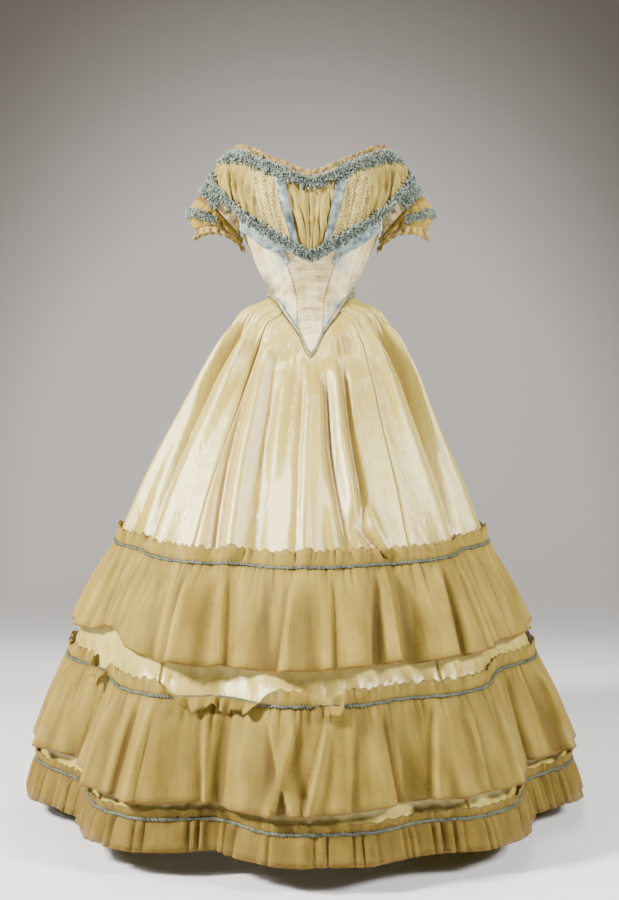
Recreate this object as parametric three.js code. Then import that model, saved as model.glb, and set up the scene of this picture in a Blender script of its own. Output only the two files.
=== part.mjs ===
// Evening dress worn off the shoulder: a pointed bodice under a draped bertha, short sleeves,
// and a full skirt with two gauze flounces and a hem ruffle.
// Millimetres, +Z up. The origin is the middle of the waist, where the dress is held.
// The front faces -Y and the wearer's left is at +X. Angles are degrees about Z, 0 at the
// middle of the front, growing towards the wearer's left.
import * as THREE from 'three';

// Driving sizes
const SILK = 1.2;
const GAUZE = 1.0;
const SEAM_GAP = 0.5;
const LAYER_GAP = 0.5;
const BODICE_LAYER_GAP = 1.0;
const COLUMN = 3.75;
const DEG = Math.PI / 180;
const DEG_STEP = 0.5;
const HEIGHT_STEP = 1;
const SHARE_STEP = 0.01;

// Skirt
const HEM_FRONT = -1006;
const HEM_DROP = 22;
const SKIRT_HEM_LIFT = 4;
const SKIRT_SPRING = 24;
const GATHERS = 32;
const FRONT_SEAM = 33.75;
const BACK_SEAM = 101.25;
const BRAIDS = { upper: -508, middle: -740, lower: -952 };
const BRAID = { thick: 2.8, half: 3 };
const FLOUNCE_WAVES = 32;
const RUFFLE_WAVES = 64;
const RIPPLE = { strength: 0.75, uneven: 0.25, drift: 0.8 };
const FLOUNCE_HEM = { swing: 4, waves: 3 };

// Bodice, bertha and sleeves
const WAIST_TRIM = { height: 11, lift: 1, out: 2.5 };
const SEAM_TAB = { low: 70, high: 98, inner: -3, outer: 4 };
const BODICE_TOP_DROP = 6;
const BERTHA_TOP = { drop: 12, out: 3.5, shoulder: 1.5, spread: 25 };
const BERTHA_TILT = 0.3;
const BERTHA_SEAM = 0.1;
const SATIN_EDGE = { from: 4, to: 62, low: 1.13, high: 1.006 };
const NECK_LACE = { height: 14, inside: 2.4 };
const PRINCESS_FOOT = 11.25;
const BACK_PANEL_SEAM = 150;
const ARMHOLE = { depth: 54, centre: 228, rise: 74 };
const SLEEVE_EASE = 1.9;
const NECK_RUCHE = { below: 17, half: 14, thick: 5.5 };
const BERTHA_RUCHE = { at: 0.96, half: 12.5, thick: 5.5 };
const SLEEVE_PARTS = {
  cap: { from: 0, to: 0.55, rows: 3, thickness: SILK, waves: 4, depth: 1 },
  puff: { from: 0.558, to: 1, rows: 2, thickness: GAUZE, waves: 8, depth: 4 },
  cuff: { from: 1.012, to: 1.3, rows: 1, thickness: GAUZE, waves: 8, depth: 4 },
};
const SLEEVE_RUCHES = {
  upper: { s: 0.52, half: 8, thick: 4.5, reach: 70, lift: 0.4 },
  lower: { s: 0.78, half: 8, thick: 4.5, reach: 100, lift: 4 },
};

// Tables: one row for each level, fold or section
const SKIRT = table(
  ['z', 'half', 'front', 'back', 'shift'],
  [0, 91, 84, 80, 0],
  [-12, 116, 88, 96, 0],
  [-32, 146, 93, 126, 0],
  [-60, 166, 100, 156, -1],
  [-100, 195, 112, 190, -2],
  [-124, 209, 121, 207, -3],
  [-160, 229, 144, 232, -4],
  [-230, 262, 190, 276, -8],
  [-300, 297, 236, 318, -12],
  [-380, 335, 288, 366, -15],
  [-456, 366, 335, 402, -18],
  [-508, 388, 366, 428, -19],
  [-620, 440, 420, 484, -20],
  [-740, 486, 468, 536, -19],
  [-850, 524, 500, 578, -17],
  [-960, 556, 518, 610, -14],
  [-1032, 570, 524, 624, -13],
);
const BODY = table(
  ['z', 'half', 'front', 'back'],
  [320, 164, 90, 92],
  [300, 163, 95, 98],
  [257, 160, 106, 103],
  [220, 156, 114, 106],
  [180, 152, 120, 106],
  [150, 147, 121, 105],
  [120, 138, 116, 102],
  [95, 127, 108, 97],
  [60, 111, 96, 90],
  [35, 99, 88, 84],
  [0, 91, 84, 80],
  [-30, 104, 92, 84],
  [-60, 122, 99, 90],
  [-90, 137, 108, 96],
  [-124, 152, 121, 102],
);
const SKIRT_FOLDS = table(
  ['at', 'reach', 'depth'],
  [-140, 18, 50],
  [-104, 14, 28],
  [-62, 22, 60],
  [-19, 16, 62],
  [24, 13, 28],
  [62, 20, 62],
  [100, 14, 30],
  [138, 18, 50],
  [178, 16, 40],
);
const FOLD_GROWTH = table(
  ['z', 'share'],
  [-165, 0],
  [-300, 0.13],
  [-508, 0.4],
  [-740, 0.75],
  [-952, 0.97],
  [-1032, 1],
);
const GATHER_SWELL = table(
  ['below', 'swell'],
  [0, 0],
  [8, 2.5],
  [30, 4.5],
  [82, 5],
  [165, 4],
  [270, 2.5],
  [390, 1],
  [500, 0],
);
const WAIST_EDGE = table(
  ['deg', 'z'],
  [0, -124],
  [3.75, -111],
  [7.5, -91.5],
  [11.25, -75.5],
  [18.75, -57],
  [26.25, -43.5],
  [37.5, -25],
  [48.75, -12],
  [60, -4],
  [71.25, 0],
  [90, 0],
  [180, -6],
);
const NECKLINE = table(
  ['deg', 'z'],
  [0, 257],
  [8, 264],
  [21, 280],
  [35, 295],
  [54, 314],
  [65, 317],
  [90, 312],
  [130, 292],
  [180, 272],
);
const PRINCESS_SEAM = table(
  ['z', 'deg'],
  [-76, PRINCESS_FOOT],
  [-58, 12.5],
  [-15, 17],
  [40, 22.5],
  [95, 27],
);
const BERTHA_EDGE = table(
  ['deg', 'x', 'y', 'z', 'bulge'],
  [0, 0, -113, 79, 14],
  [12, 27, -113, 92, 14],
  [25, 58, -110, 112, 14],
  [45, 100, -99, 138, 13],
  [62, 146, -84, 168, 9],
  [75, 186, -68, 208, 6],
  [82, 200, -44, 232, 5],
  [90, 208, -5, 253, 3],
  [98, 203, 41, 236, 5],
  [105, 189, 69, 212, 6],
  [120, 151, 88, 180, 8],
  [140, 100, 98, 155, 8],
  [160, 52, 109, 140, 7],
  [180, 0, 113, 132, 6],
);
const SLEEVE = table(
  ['s', 'topX', 'topZ', 'underX', 'underZ', 'depth', 'arch'],
  [0.2, 190, 264, 151, 141, 54, 0],
  [0.4, 214, 236, 151.5, 134, 54, 4],
  [0.6, 238, 208, 151, 127, 54, 8],
  [0.8, 252, 176, 150, 120, 53, 14],
  [1.0, 244, 141, 148, 112, 49, 20],
  [1.3, 248, 114, 141, 88, 51, 30],
);
const FLOUNCE = table(
  ['rise', 'out', 'wave'],
  [-177, 22, 8],
  [0, 0, 0],
  [28, 6, 3.5],
);
const RUFFLE = table(
  ['rise', 'out', 'wave'],
  [-60, 12, 5],
  [0, 0, 0],
  [18, 5, 2.5],
);

// Cloths
const CLOTHS = {
  taffeta: { color: 0xe4d6ac, roughness: 0.42 },
  bodiceSilk: { color: 0xe8dcc0, roughness: 0.48 },
  gauze: { color: 0xcdb273, roughness: 0.75 },
  chiffon: { color: 0xd3bd8c, roughness: 0.7 },
  lace: { color: 0xdccfa9, roughness: 0.85 },
  goldLace: { color: 0xc8a564, roughness: 0.8 },
  ruche: { color: 0x7d918c, roughness: 0.95 },
  braid: { color: 0x7b9089, roughness: 0.7 },
  satin: { color: 0xafc3cd, roughness: 0.3 },
  creamSatin: { color: 0xdcd3b4, roughness: 0.35 },
};

function table(columns, ...rows) {
  const named = rows.map((row) => Object.fromEntries(columns.map((name, i) => [name, row[i]])));
  return named.sort((a, b) => a[columns[0]] - b[columns[0]]);
}

function lerp(a, b, t) {
  return a + (b - a) * t;
}

function clamp(value, low, high) {
  return Math.min(Math.max(value, low), high);
}

// The row before a value of the key, and how far the value is on the way to the next row.
function place(rows, key, at) {
  const inside = clamp(at, rows[0][key], rows[rows.length - 1][key]);
  let index = 0;
  while (index < rows.length - 2 && rows[index + 1][key] <= inside) index += 1;
  const span = rows[index + 1][key] - rows[index][key];
  return { index, span, share: (inside - rows[index][key]) / span };
}

function straight(rows, key, column, at) {
  const { index, share } = place(rows, key, at);
  return lerp(rows[index][column], rows[index + 1][column], share);
}

// A smooth curve through the rows that never overshoots them.
function smooth(rows, key, column, at) {
  const last = rows.length - 1;
  const slope = (k) => (rows[k + 1][column] - rows[k][column]) / (rows[k + 1][key] - rows[k][key]);
  const tangent = (k) => {
    if (k === 0) return slope(0);
    if (k === last) return slope(last - 1);
    const before = slope(k - 1);
    const after = slope(k);
    return before * after <= 0 ? 0 : (2 * before * after) / (before + after);
  };
  const { index, span, share: t } = place(rows, key, at);
  const ease = t * t * (3 - 2 * t);
  const lean = tangent(index) * t * (1 - t) * (1 - t) - tangent(index + 1) * t * t * (1 - t);
  return lerp(rows[index][column], rows[index + 1][column], ease) + lean * span;
}

// Surfaces
// Each takes two places, across and up, and gives a point; its normal then points outwards.
function normalOf(surface, across, up, stepAcross, stepUp) {
  const right = surface(across + stepAcross, up).sub(surface(across - stepAcross, up));
  const rise = surface(across, up + stepUp).sub(surface(across, up - stepUp));
  return right.cross(rise).normalize();
}

function ellipse(deg, half, front, back, z, shift) {
  const depth = Math.cos(deg * DEG) > 0 ? front : back;
  return new THREE.Vector3(half * Math.sin(deg * DEG) + shift, -depth * Math.cos(deg * DEG), z);
}

function levelPoint(levels, deg, z) {
  const [half, front, back] = ['half', 'front', 'back'].map((name) => smooth(levels, 'z', name, z));
  const shift = 'shift' in levels[0] ? smooth(levels, 'z', 'shift', z) : 0;
  return ellipse(deg, half, front, back, z, shift);
}

function bodyPoint(deg, z) {
  return levelPoint(BODY, deg, z);
}

function offBody(deg, z, out) {
  return bodyPoint(deg, z).addScaledVector(normalOf(bodyPoint, deg, z, DEG_STEP, HEIGHT_STEP), out);
}

function waistEdge(deg) {
  return straight(WAIST_EDGE, 'deg', 'z', Math.abs(deg));
}

function neckline(deg) {
  return smooth(NECKLINE, 'deg', 'z', Math.abs(deg));
}

function hemLevel(deg) {
  return HEM_FRONT - HEM_DROP * Math.min(1, 1 - Math.cos(deg * DEG));
}

function turnBetween(a, b) {
  return Math.abs(((a - b + 540) % 360) - 180);
}

function foldHollow(deg, z) {
  const hollows = SKIRT_FOLDS.map(({ at, reach, depth }) => {
    const share = Math.min(1, turnBetween(deg, at) / reach);
    return depth * Math.cos((share * Math.PI) / 2) ** 2;
  });
  return Math.max(...hollows) * smooth(FOLD_GROWTH, 'z', 'share', z);
}

function ease(share) {
  const t = clamp(share, 0, 1);
  return t * t * (3 - 2 * t);
}

function gatherSwell(deg, z) {
  const fullness = lerp(0.5, 1, ease((turnBetween(deg, 0) - 20) / 25));
  const swell = smooth(GATHER_SWELL, 'below', 'swell', waistEdge(deg) - z);
  return fullness * swell * Math.cos(GATHERS * deg * DEG);
}

// The skirt starts on the body at its waist edge and swings out to its own levels below it.
function plainSkirt(deg, z) {
  const below = (waistEdge(deg) - z) / SKIRT_SPRING;
  return bodyPoint(deg, z).lerp(levelPoint(SKIRT, deg, z), ease(below));
}

function skirtPoint(deg, z) {
  const point = plainSkirt(deg, z);
  const inward = new THREE.Vector3(point.x, point.y, 0).normalize();
  point.addScaledVector(inward, -foldHollow(deg, z));
  return point.addScaledVector(normalOf(plainSkirt, deg, z, DEG_STEP, HEIGHT_STEP), gatherSwell(deg, z));
}

// A layer on the skirt: straight between the skirt's own columns, so that it lies on its facets.
function offSkirt(deg, z, out) {
  const from = Math.floor(deg / COLUMN + 1e-6) * COLUMN;
  const lifted = (column) => {
    const normal = normalOf(skirtPoint, column, z, DEG_STEP, HEIGHT_STEP);
    return skirtPoint(column, z).addScaledVector(normal, out);
  };
  return lifted(from).lerp(lifted(from + COLUMN), (deg - from) / COLUMN);
}

function berthaPoint(deg, down) {
  const turn = Math.abs(deg);
  const side = Math.sign(deg) || 1;
  const shoulder = Math.exp(-(((turn - 90) / BERTHA_TOP.spread) ** 2));
  const lift = BERTHA_TOP.out + BERTHA_TOP.shoulder * shoulder;
  const top = offBody(turn, neckline(turn) - BERTHA_TOP.drop, lift);
  const [x, y, z, bulge] = ['x', 'y', 'z', 'bulge'].map((name) => smooth(BERTHA_EDGE, 'deg', name, turn));
  const low = new THREE.Vector3(x, y, z);
  const out = new THREE.Vector3(Math.sin(turn * DEG), -Math.cos(turn * DEG), BERTHA_TILT).normalize();
  const point = top.lerp(low, down).addScaledVector(out, bulge * Math.sin(Math.PI * clamp(down, 0, 1)));
  return point.setX(point.x * side);
}

function berthaLength(deg) {
  return berthaPoint(deg, 0).distanceTo(berthaPoint(deg, 1));
}

function sleeveBase(turn) {
  const depth = ARMHOLE.depth - SLEEVE_EASE;
  const y = -depth * Math.sin(turn * DEG);
  const z = ARMHOLE.centre + (ARMHOLE.rise - SLEEVE_EASE) * Math.cos(turn * DEG);
  const reach = smooth(BODY, 'z', y < 0 ? 'front' : 'back', z);
  return new THREE.Vector3(smooth(BODY, 'z', 'half', z) * Math.sqrt(1 - (y / reach) ** 2), y, z);
}

function sleeveRing(turn, s) {
  const [topX, topZ, underX, underZ, depth, arch] = ['topX', 'topZ', 'underX', 'underZ', 'depth', 'arch']
    .map((name) => smooth(SLEEVE, 's', name, s));
  const rise = Math.cos(turn * DEG);
  const x = lerp(underX, topX, (1 + rise) / 2);
  const z = lerp(underZ, topZ, (1 + rise) / 2) + arch * Math.sin(turn * DEG) ** 2;
  return new THREE.Vector3(x, -depth * Math.sin(turn * DEG), z);
}

// The left sleeve: turn is 0 over the shoulder and 90 in front, s runs from armhole to cuff.
function sleevePoint(turn, s) {
  const first = SLEEVE[0].s;
  if (s >= first) return sleeveRing(turn, s);
  return sleeveBase(turn).lerp(sleeveRing(turn, first), s / first);
}

// Solids
function solid(points, faces) {
  const geometry = new THREE.BufferGeometry();
  geometry.setAttribute('position', new THREE.Float32BufferAttribute(points.flatMap((p) => p.toArray()), 3));
  geometry.setIndex(faces.flat());
  geometry.computeVertexNormals();
  return geometry;
}

function quad(a, b, c, d) {
  return [[a, b, c], [a, c, d]];
}

// A cloth wall: its outer side lies on the surface and its inner side a thickness behind it.
function wall({ surface, across, up, thickness, ring = false }) {
  const stepAcross = (across[across.length - 1] - across[0]) / 1000;
  const stepUp = (up[up.length - 1] - up[0]) / 1000;
  const columns = across.length;
  const rows = up.length;
  const outer = up.flatMap((v) => across.map((u) => surface(u, v)));
  const normals = up.flatMap((v) => across.map((u) => normalOf(surface, u, v, stepAcross, stepUp)));
  const inner = outer.map((point, i) => point.clone().addScaledVector(normals[i], -thickness));
  const at = (i, j) => j * columns + (i % columns);
  const behind = (i, j) => at(i, j) + outer.length;
  const faces = [];
  const spans = ring ? columns : columns - 1;
  for (let i = 0; i < spans; i += 1) {
    for (let j = 0; j < rows - 1; j += 1) {
      faces.push(...quad(at(i, j), at(i + 1, j), at(i + 1, j + 1), at(i, j + 1)));
      faces.push([behind(i, j), behind(i + 1, j + 1), behind(i + 1, j)]);
      faces.push([behind(i, j), behind(i, j + 1), behind(i + 1, j + 1)]);
    }
    faces.push(...quad(at(i + 1, 0), at(i, 0), behind(i, 0), behind(i + 1, 0)));
    const top = rows - 1;
    faces.push(...quad(at(i, top), at(i + 1, top), behind(i + 1, top), behind(i, top)));
  }
  for (let j = 0; j < rows - 1 && !ring; j += 1) {
    const end = columns - 1;
    faces.push(...quad(at(0, j), at(0, j + 1), behind(0, j + 1), behind(0, j)));
    faces.push(...quad(at(end, j + 1), at(end, j), behind(end, j), behind(end, j + 1)));
  }
  return solid([...outer, ...inner], faces);
}

// A roll of trimming: a section of [out, up] corners carried along frames of at, out and up.
function roll({ frames, section, ring = false }) {
  const sides = section.length;
  const points = frames.flatMap(({ at, out, up }) =>
    section.map(([o, u]) => at.clone().addScaledVector(out, o).addScaledVector(up, u)));
  const index = (k, i) => (k % frames.length) * sides + (i % sides);
  const faces = [];
  const spans = ring ? frames.length : frames.length - 1;
  for (let k = 0; k < spans; k += 1) {
    for (let i = 0; i < sides; i += 1) {
      faces.push(...quad(index(k, i), index(k + 1, i), index(k + 1, i + 1), index(k, i + 1)));
    }
  }
  for (let i = 1; i < sides - 1 && !ring; i += 1) {
    const end = frames.length - 1;
    faces.push([index(0, 0), index(0, i), index(0, i + 1)]);
    faces.push([index(end, 0), index(end, i + 1), index(end, i)]);
  }
  return solid(points, faces);
}

function roundSection(thick, half, sides) {
  return Array.from({ length: sides }, (_, i) => {
    const angle = (i / sides) * 2 * Math.PI;
    return [thick * Math.cos(angle), half * Math.sin(angle)];
  });
}

function mirrored(geometry) {
  const copy = geometry.clone();
  copy.scale(-1, 1, 1);
  const index = copy.getIndex();
  for (let i = 0; i < index.count; i += 3) {
    const first = index.getX(i);
    index.setX(i, index.getX(i + 2));
    index.setX(i + 2, first);
  }
  copy.computeVertexNormals();
  return copy;
}

// Evenly spaced places from one end to the other, both included.
function spread(from, to, count) {
  return Array.from({ length: count + 1 }, (_, i) => lerp(from, to, i / count));
}

function around(count) {
  const turns = spread(0, 360, count).slice(0, count).map((deg) => (deg > 180 ? deg - 360 : deg));
  return turns.sort((a, b) => a - b);
}

const dress = new THREE.Group();

function add(name, cloth, geometry) {
  const material = new THREE.MeshStandardMaterial({ ...CLOTHS[cloth], metalness: 0, name: cloth });
  const mesh = new THREE.Mesh(geometry, material);
  mesh.name = name;
  dress.add(mesh);
}

function addPair(name, cloth, geometry) {
  add(`${name}_left`, cloth, geometry);
  add(`${name}_right`, cloth, mirrored(geometry));
}

// Skirt panels, from the hem up to the waist edge
const SKIRT_LEVELS = [BRAIDS.lower, BRAIDS.middle, BRAIDS.upper, -390, -270, -165];
const YOKE_SHARES = [0.5, 0.2, 0];

function skirtLevel(row, deg) {
  if (row === 0) return hemLevel(deg) + SKIRT_HEM_LIFT;
  if (row <= SKIRT_LEVELS.length) return SKIRT_LEVELS[row - 1];
  const share = YOKE_SHARES[row - SKIRT_LEVELS.length - 1];
  return lerp(waistEdge(deg) - 2 * SEAM_GAP, SKIRT_LEVELS[SKIRT_LEVELS.length - 1], share);
}

function skirtHeight(row, deg) {
  const last = SKIRT_LEVELS.length + YOKE_SHARES.length;
  const below = clamp(Math.floor(row), 0, last - 1);
  return lerp(skirtLevel(below, deg), skirtLevel(below + 1, deg), row - below);
}

function skirtPanel(from, to) {
  const surface = (deg, row) => {
    const z = skirtHeight(row, deg);
    const pull = SEAM_GAP / 2 / smooth(SKIRT, 'z', 'half', z) / DEG;
    return skirtPoint(lerp(from + pull, to - pull, (deg - from) / (to - from)), z);
  };
  const across = spread(from, to, (to - from) / COLUMN);
  const up = spread(0, SKIRT_LEVELS.length + YOKE_SHARES.length, SKIRT_LEVELS.length + YOKE_SHARES.length);
  return wall({ surface, across, up, thickness: SILK });
}

function buildSkirt() {
  add('skirt_front', 'taffeta', skirtPanel(-FRONT_SEAM, FRONT_SEAM));
  add('skirt_side_left', 'taffeta', skirtPanel(FRONT_SEAM, BACK_SEAM));
  add('skirt_side_right', 'taffeta', skirtPanel(-BACK_SEAM, -FRONT_SEAM));
  add('skirt_back_left', 'taffeta', skirtPanel(BACK_SEAM, 180));
  add('skirt_back_right', 'taffeta', skirtPanel(-180, -BACK_SEAM));
}

// Flounces: a gathered strip held by a braid, with a heading that stands above it
function flounce({ braid, profile, waves, columns, bottom }) {
  const ripple = (deg) => {
    const strength = RIPPLE.strength + RIPPLE.uneven * Math.sin(5 * deg * DEG);
    return strength * Math.cos(waves * deg * DEG + RIPPLE.drift * Math.sin(4 * deg * DEG));
  };
  const surface = (deg, rise) => {
    const z = rise < 0 ? lerp(braid, bottom(deg), rise / profile[0].rise) : braid + rise;
    const out = straight(profile, 'rise', 'out', rise);
    const wave = straight(profile, 'rise', 'wave', rise);
    return offSkirt(deg, z, LAYER_GAP + GAUZE + out + wave * ripple(deg));
  };
  const up = profile.map(({ rise }) => rise);
  return wall({ surface, across: around(columns), up, thickness: GAUZE, ring: true });
}

function braidRing(braid) {
  const inner = 2 * LAYER_GAP + GAUZE;
  const frames = around(360 / COLUMN).map((deg) => {
    const at = offSkirt(deg, braid, 0);
    const out = offSkirt(deg, braid, 1).sub(at);
    const above = offSkirt(deg, braid + HEIGHT_STEP, 0);
    const up = above.sub(offSkirt(deg, braid - HEIGHT_STEP, 0)).normalize();
    return { at, out, up };
  });
  const section = [[inner + BRAID.thick, -BRAID.half], [inner + BRAID.thick, BRAID.half], [inner, 0]];
  return roll({ frames, section, ring: true });
}

function buildFlounces() {
  const columns = 360 / COLUMN;
  for (const [name, braid] of [['upper', BRAIDS.upper], ['middle', BRAIDS.middle]]) {
    const swing = (deg) => FLOUNCE_HEM.swing * Math.sin(FLOUNCE_HEM.waves * deg * DEG);
    const bottom = (deg) => braid + FLOUNCE[0].rise + swing(deg);
    const strip = flounce({ braid, profile: FLOUNCE, waves: FLOUNCE_WAVES, columns, bottom });
    add(`flounce_${name}`, 'gauze', strip);
  }
  const ruffle = { braid: BRAIDS.lower, profile: RUFFLE, waves: RUFFLE_WAVES, columns: 2 * columns };
  add('hem_ruffle', 'gauze', flounce({ ...ruffle, bottom: hemLevel }));
  for (const [name, braid] of Object.entries(BRAIDS)) add(`braid_${name}`, 'braid', braidRing(braid));
}

// Bodice panels between seams, from the waist edge up to the neckline
function armholeTurn(z, reach) {
  const drop = clamp((ARMHOLE.centre - z) / ARMHOLE.rise, 0, 1);
  const depth = ARMHOLE.depth * Math.sqrt(1 - drop * drop);
  return Math.acos(depth / reach) / DEG;
}

function frontArmhole(z) {
  return armholeTurn(z, smooth(BODY, 'z', 'front', z));
}

function backArmhole(z) {
  return 180 - armholeTurn(z, smooth(BODY, 'z', 'back', z));
}

function princessSeam(z) {
  return smooth(PRINCESS_SEAM, 'z', 'deg', z);
}

function bodicePanel({ from, to, shares, up }) {
  const surface = (share, rise) => {
    let deg = lerp(from(0), to(0), share);
    let z = 0;
    for (let pass = 0; pass < 8; pass += 1) {
      const low = waistEdge(deg) + SEAM_GAP;
      z = lerp(low, neckline(deg) - BODICE_TOP_DROP, rise);
      const pull = SEAM_GAP / 2 / bodyPoint(deg, z).setZ(0).length() / DEG;
      deg = lerp(from(z) + pull, to(z) - pull, share);
    }
    return bodyPoint(deg, z);
  };
  return wall({ surface, across: shares, up, thickness: SILK });
}

const sharesOf = (from, to, places) => places.map((deg) => (deg - from) / (to - from));
const BODICE_RISES = [0, 0.04, 0.09, 0.16, 0.27, 0.39, 0.5, 0.54, 0.61, 0.74, 1];

function buildBodice() {
  add('bodice_front', 'bodiceSilk', bodicePanel({
    from: (z) => -princessSeam(z),
    to: princessSeam,
    shares: spread(0, 1, 6),
    up: BODICE_RISES,
  }));
  addPair('bodice_side_front', 'bodiceSilk', bodicePanel({
    from: princessSeam,
    to: frontArmhole,
    shares: sharesOf(PRINCESS_FOOT, 90, [11.25, 18.75, 26.25, 37.5, 48.75, 60, 71.25, 82.5, 90]),
    up: BODICE_RISES,
  }));
  addPair('bodice_side_back', 'bodiceSilk', bodicePanel({
    from: backArmhole,
    to: () => BACK_PANEL_SEAM,
    shares: spread(0, 1, 6),
    up: BODICE_RISES,
  }));
  addPair('bodice_back', 'bodiceSilk', bodicePanel({
    from: () => BACK_PANEL_SEAM,
    to: () => 180,
    shares: spread(0, 1, 3),
    up: BODICE_RISES,
  }));
}

// Satin on the bodice: the band along the pointed waist, and the tabs on the front seams
function buildBodiceTrim() {
  const level = (deg, rise) => waistEdge(deg) + WAIST_TRIM.lift + rise * WAIST_TRIM.height;
  const band = (deg, rise) => offBody(deg, level(deg, rise), WAIST_TRIM.out);
  const front = [0, 3.75, 7.5, 11.25, 18.75, 26.25, 37.5, 48.75, 60, 71.25, 82.5, 90];
  const half = [...front, 100, 110, 120, 130, 140, 150, 160, 170, 180];
  const across = [...half.slice(1, -1).reverse().map((deg) => -deg), ...half];
  add('waist_trim', 'satin', wall({ surface: band, across, up: [0, 1], thickness: GAUZE, ring: true }));
  const tab = (share, rise) => {
    const z = lerp(SEAM_TAB.low, SEAM_TAB.high, rise);
    const deg = princessSeam(z) + lerp(SEAM_TAB.inner, SEAM_TAB.outer, share);
    return offBody(deg, z, LAYER_GAP + GAUZE);
  };
  addPair('seam_tab', 'satin', wall({ surface: tab, across: [0, 0.5, 1], up: [0, 0.5, 1], thickness: GAUZE }));
}

// Bertha pieces: each runs between two seams given at the neck and at the lower edge
function berthaPiece({ neck, edge, columns, folds, depth, hump }) {
  const surface = (share, rise) => {
    const down = 1 - rise;
    const from = lerp(neck[0], edge[0], down) + BERTHA_SEAM;
    const to = lerp(neck[1], edge[1], down) - BERTHA_SEAM;
    const deg = lerp(from, to, share);
    const crown = Math.sin(Math.PI * clamp((down - hump[0]) / (hump[1] - hump[0]), 0, 1)) ** 2;
    const fold = depth * crown * (1 - Math.cos(2 * Math.PI * folds * share)) / 2;
    const normal = normalOf(berthaFromEdge, deg, rise, DEG_STEP, SHARE_STEP);
    return berthaPoint(deg, down).addScaledVector(normal, fold);
  };
  return wall({ surface, across: spread(0, 1, columns), up: [0, 0.25, 0.5, 0.75, 1], thickness: GAUZE });
}

function berthaFromEdge(deg, rise) {
  return berthaPoint(deg, 1 - rise);
}

function buildBertha() {
  const front = [0.2, 0.92];
  const shoulder = [0.42, 0.72];
  add('bertha_centre', 'chiffon', berthaPiece({
    neck: [-24, 24], edge: [-11, 11], columns: 10, folds: 5, depth: 2.5, hump: front,
  }));
  const pieces = [
    { name: 'bertha_lace', cloth: 'lace', neck: [24, 46], edge: [11, 46], columns: 4, folds: 1, depth: 1 },
    { name: 'bertha_shoulder', cloth: 'chiffon', neck: [46, 90], edge: [46, 90], columns: 8, folds: 4, depth: 3 },
    { name: 'bertha_back', cloth: 'chiffon', neck: [90, 180], edge: [90, 180], columns: 12, folds: 3, depth: 1.5 },
  ];
  for (const { name, cloth, ...shape } of pieces) {
    const hump = name === 'bertha_lace' ? front : shoulder;
    addPair(name, cloth, berthaPiece({ ...shape, hump }));
  }
  const edge = (deg, rise) => berthaPoint(deg, lerp(SATIN_EDGE.low, SATIN_EDGE.high, rise));
  const across = spread(SATIN_EDGE.from, SATIN_EDGE.to, 8);
  addPair('satin_edge', 'satin', wall({ surface: edge, across, up: [0, 1], thickness: GAUZE }));
}

// Ruches lie along the bertha, one below the neckline and one on its lower edge
function ruchePlaces() {
  const half = [...spread(0, 46, 5), ...spread(46, 90, 8).slice(1), ...spread(90, 180, 12).slice(1)];
  return [...half.slice(1, -1).reverse().map((deg) => -deg), ...half];
}

function berthaRuche({ down, half, thick }) {
  const frames = ruchePlaces().map((deg) => {
    const level = down(deg);
    const up = berthaPoint(deg, level - SHARE_STEP).sub(berthaPoint(deg, level + SHARE_STEP)).normalize();
    const right = berthaPoint(deg + DEG_STEP, level).sub(berthaPoint(deg - DEG_STEP, level));
    const out = right.cross(up).normalize();
    return { at: berthaPoint(deg, level).addScaledVector(out, thick + LAYER_GAP), out, up };
  });
  return roll({ frames, section: roundSection(thick, half, 5), ring: true });
}

function buildNeck() {
  const lace = (deg, rise) => offBody(deg, neckline(deg) - NECK_LACE.height * (1 - rise), -NECK_LACE.inside);
  add('neck_lace', 'goldLace', wall({ surface: lace, across: around(32), up: [0, 1], thickness: GAUZE, ring: true }));
  add('neck_ruche', 'ruche', berthaRuche({ ...NECK_RUCHE, down: (deg) => NECK_RUCHE.below / berthaLength(deg) }));
  add('bertha_ruche', 'ruche', berthaRuche({ ...BERTHA_RUCHE, down: () => BERTHA_RUCHE.at }));
}

// Sleeves: a satin cap, a gathered gauze puff, a lace cuff and two ruches across the outside
function sleeveWall({ from, to, rows, thickness, waves, depth }) {
  const surface = (turn, share) => {
    const s = lerp(from, to, share);
    const swell = depth * Math.sin(Math.PI * share * 0.9) * (1 + Math.cos(waves * turn * DEG)) / 2;
    return sleevePoint(turn, s).addScaledVector(normalOf(sleevePoint, turn, s, DEG_STEP, SHARE_STEP), swell);
  };
  return wall({ surface, across: spread(-180, 165, 23), up: spread(0, 1, rows), thickness, ring: true });
}

function sleeveRuche({ s, half, thick, reach, lift }) {
  const frames = spread(-reach, reach, 14).map((turn) => {
    const out = normalOf(sleevePoint, turn, s, DEG_STEP, SHARE_STEP);
    const up = sleevePoint(turn, s + SHARE_STEP).sub(sleevePoint(turn, s - SHARE_STEP)).normalize();
    return { at: sleevePoint(turn, s).addScaledVector(out, thick + lift), out, up };
  });
  return roll({ frames, section: roundSection(thick, half, 5) });
}

function buildSleeves() {
  addPair('sleeve_cap', 'creamSatin', sleeveWall(SLEEVE_PARTS.cap));
  addPair('sleeve_puff', 'gauze', sleeveWall(SLEEVE_PARTS.puff));
  addPair('cuff_lace', 'goldLace', sleeveWall(SLEEVE_PARTS.cuff));
  addPair('sleeve_ruche_upper', 'ruche', sleeveRuche(SLEEVE_RUCHES.upper));
  addPair('sleeve_ruche_lower', 'ruche', sleeveRuche(SLEEVE_RUCHES.lower));
}

buildSkirt();
buildFlounces();
buildBodice();
buildBodiceTrim();
buildBertha();
buildNeck();
buildSleeves();

export default dress;
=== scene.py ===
"""Looks of an off-the-shoulder evening dress: silk taffeta, gauze flounces, lace and fluffy ruches.

Shapes are worked out in millimetres, in the frame of the model: +Z up, front at -Y, and the
wearer's left at +X. Angles are degrees about Z, 0 at the middle of the front.
"""
import math

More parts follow.
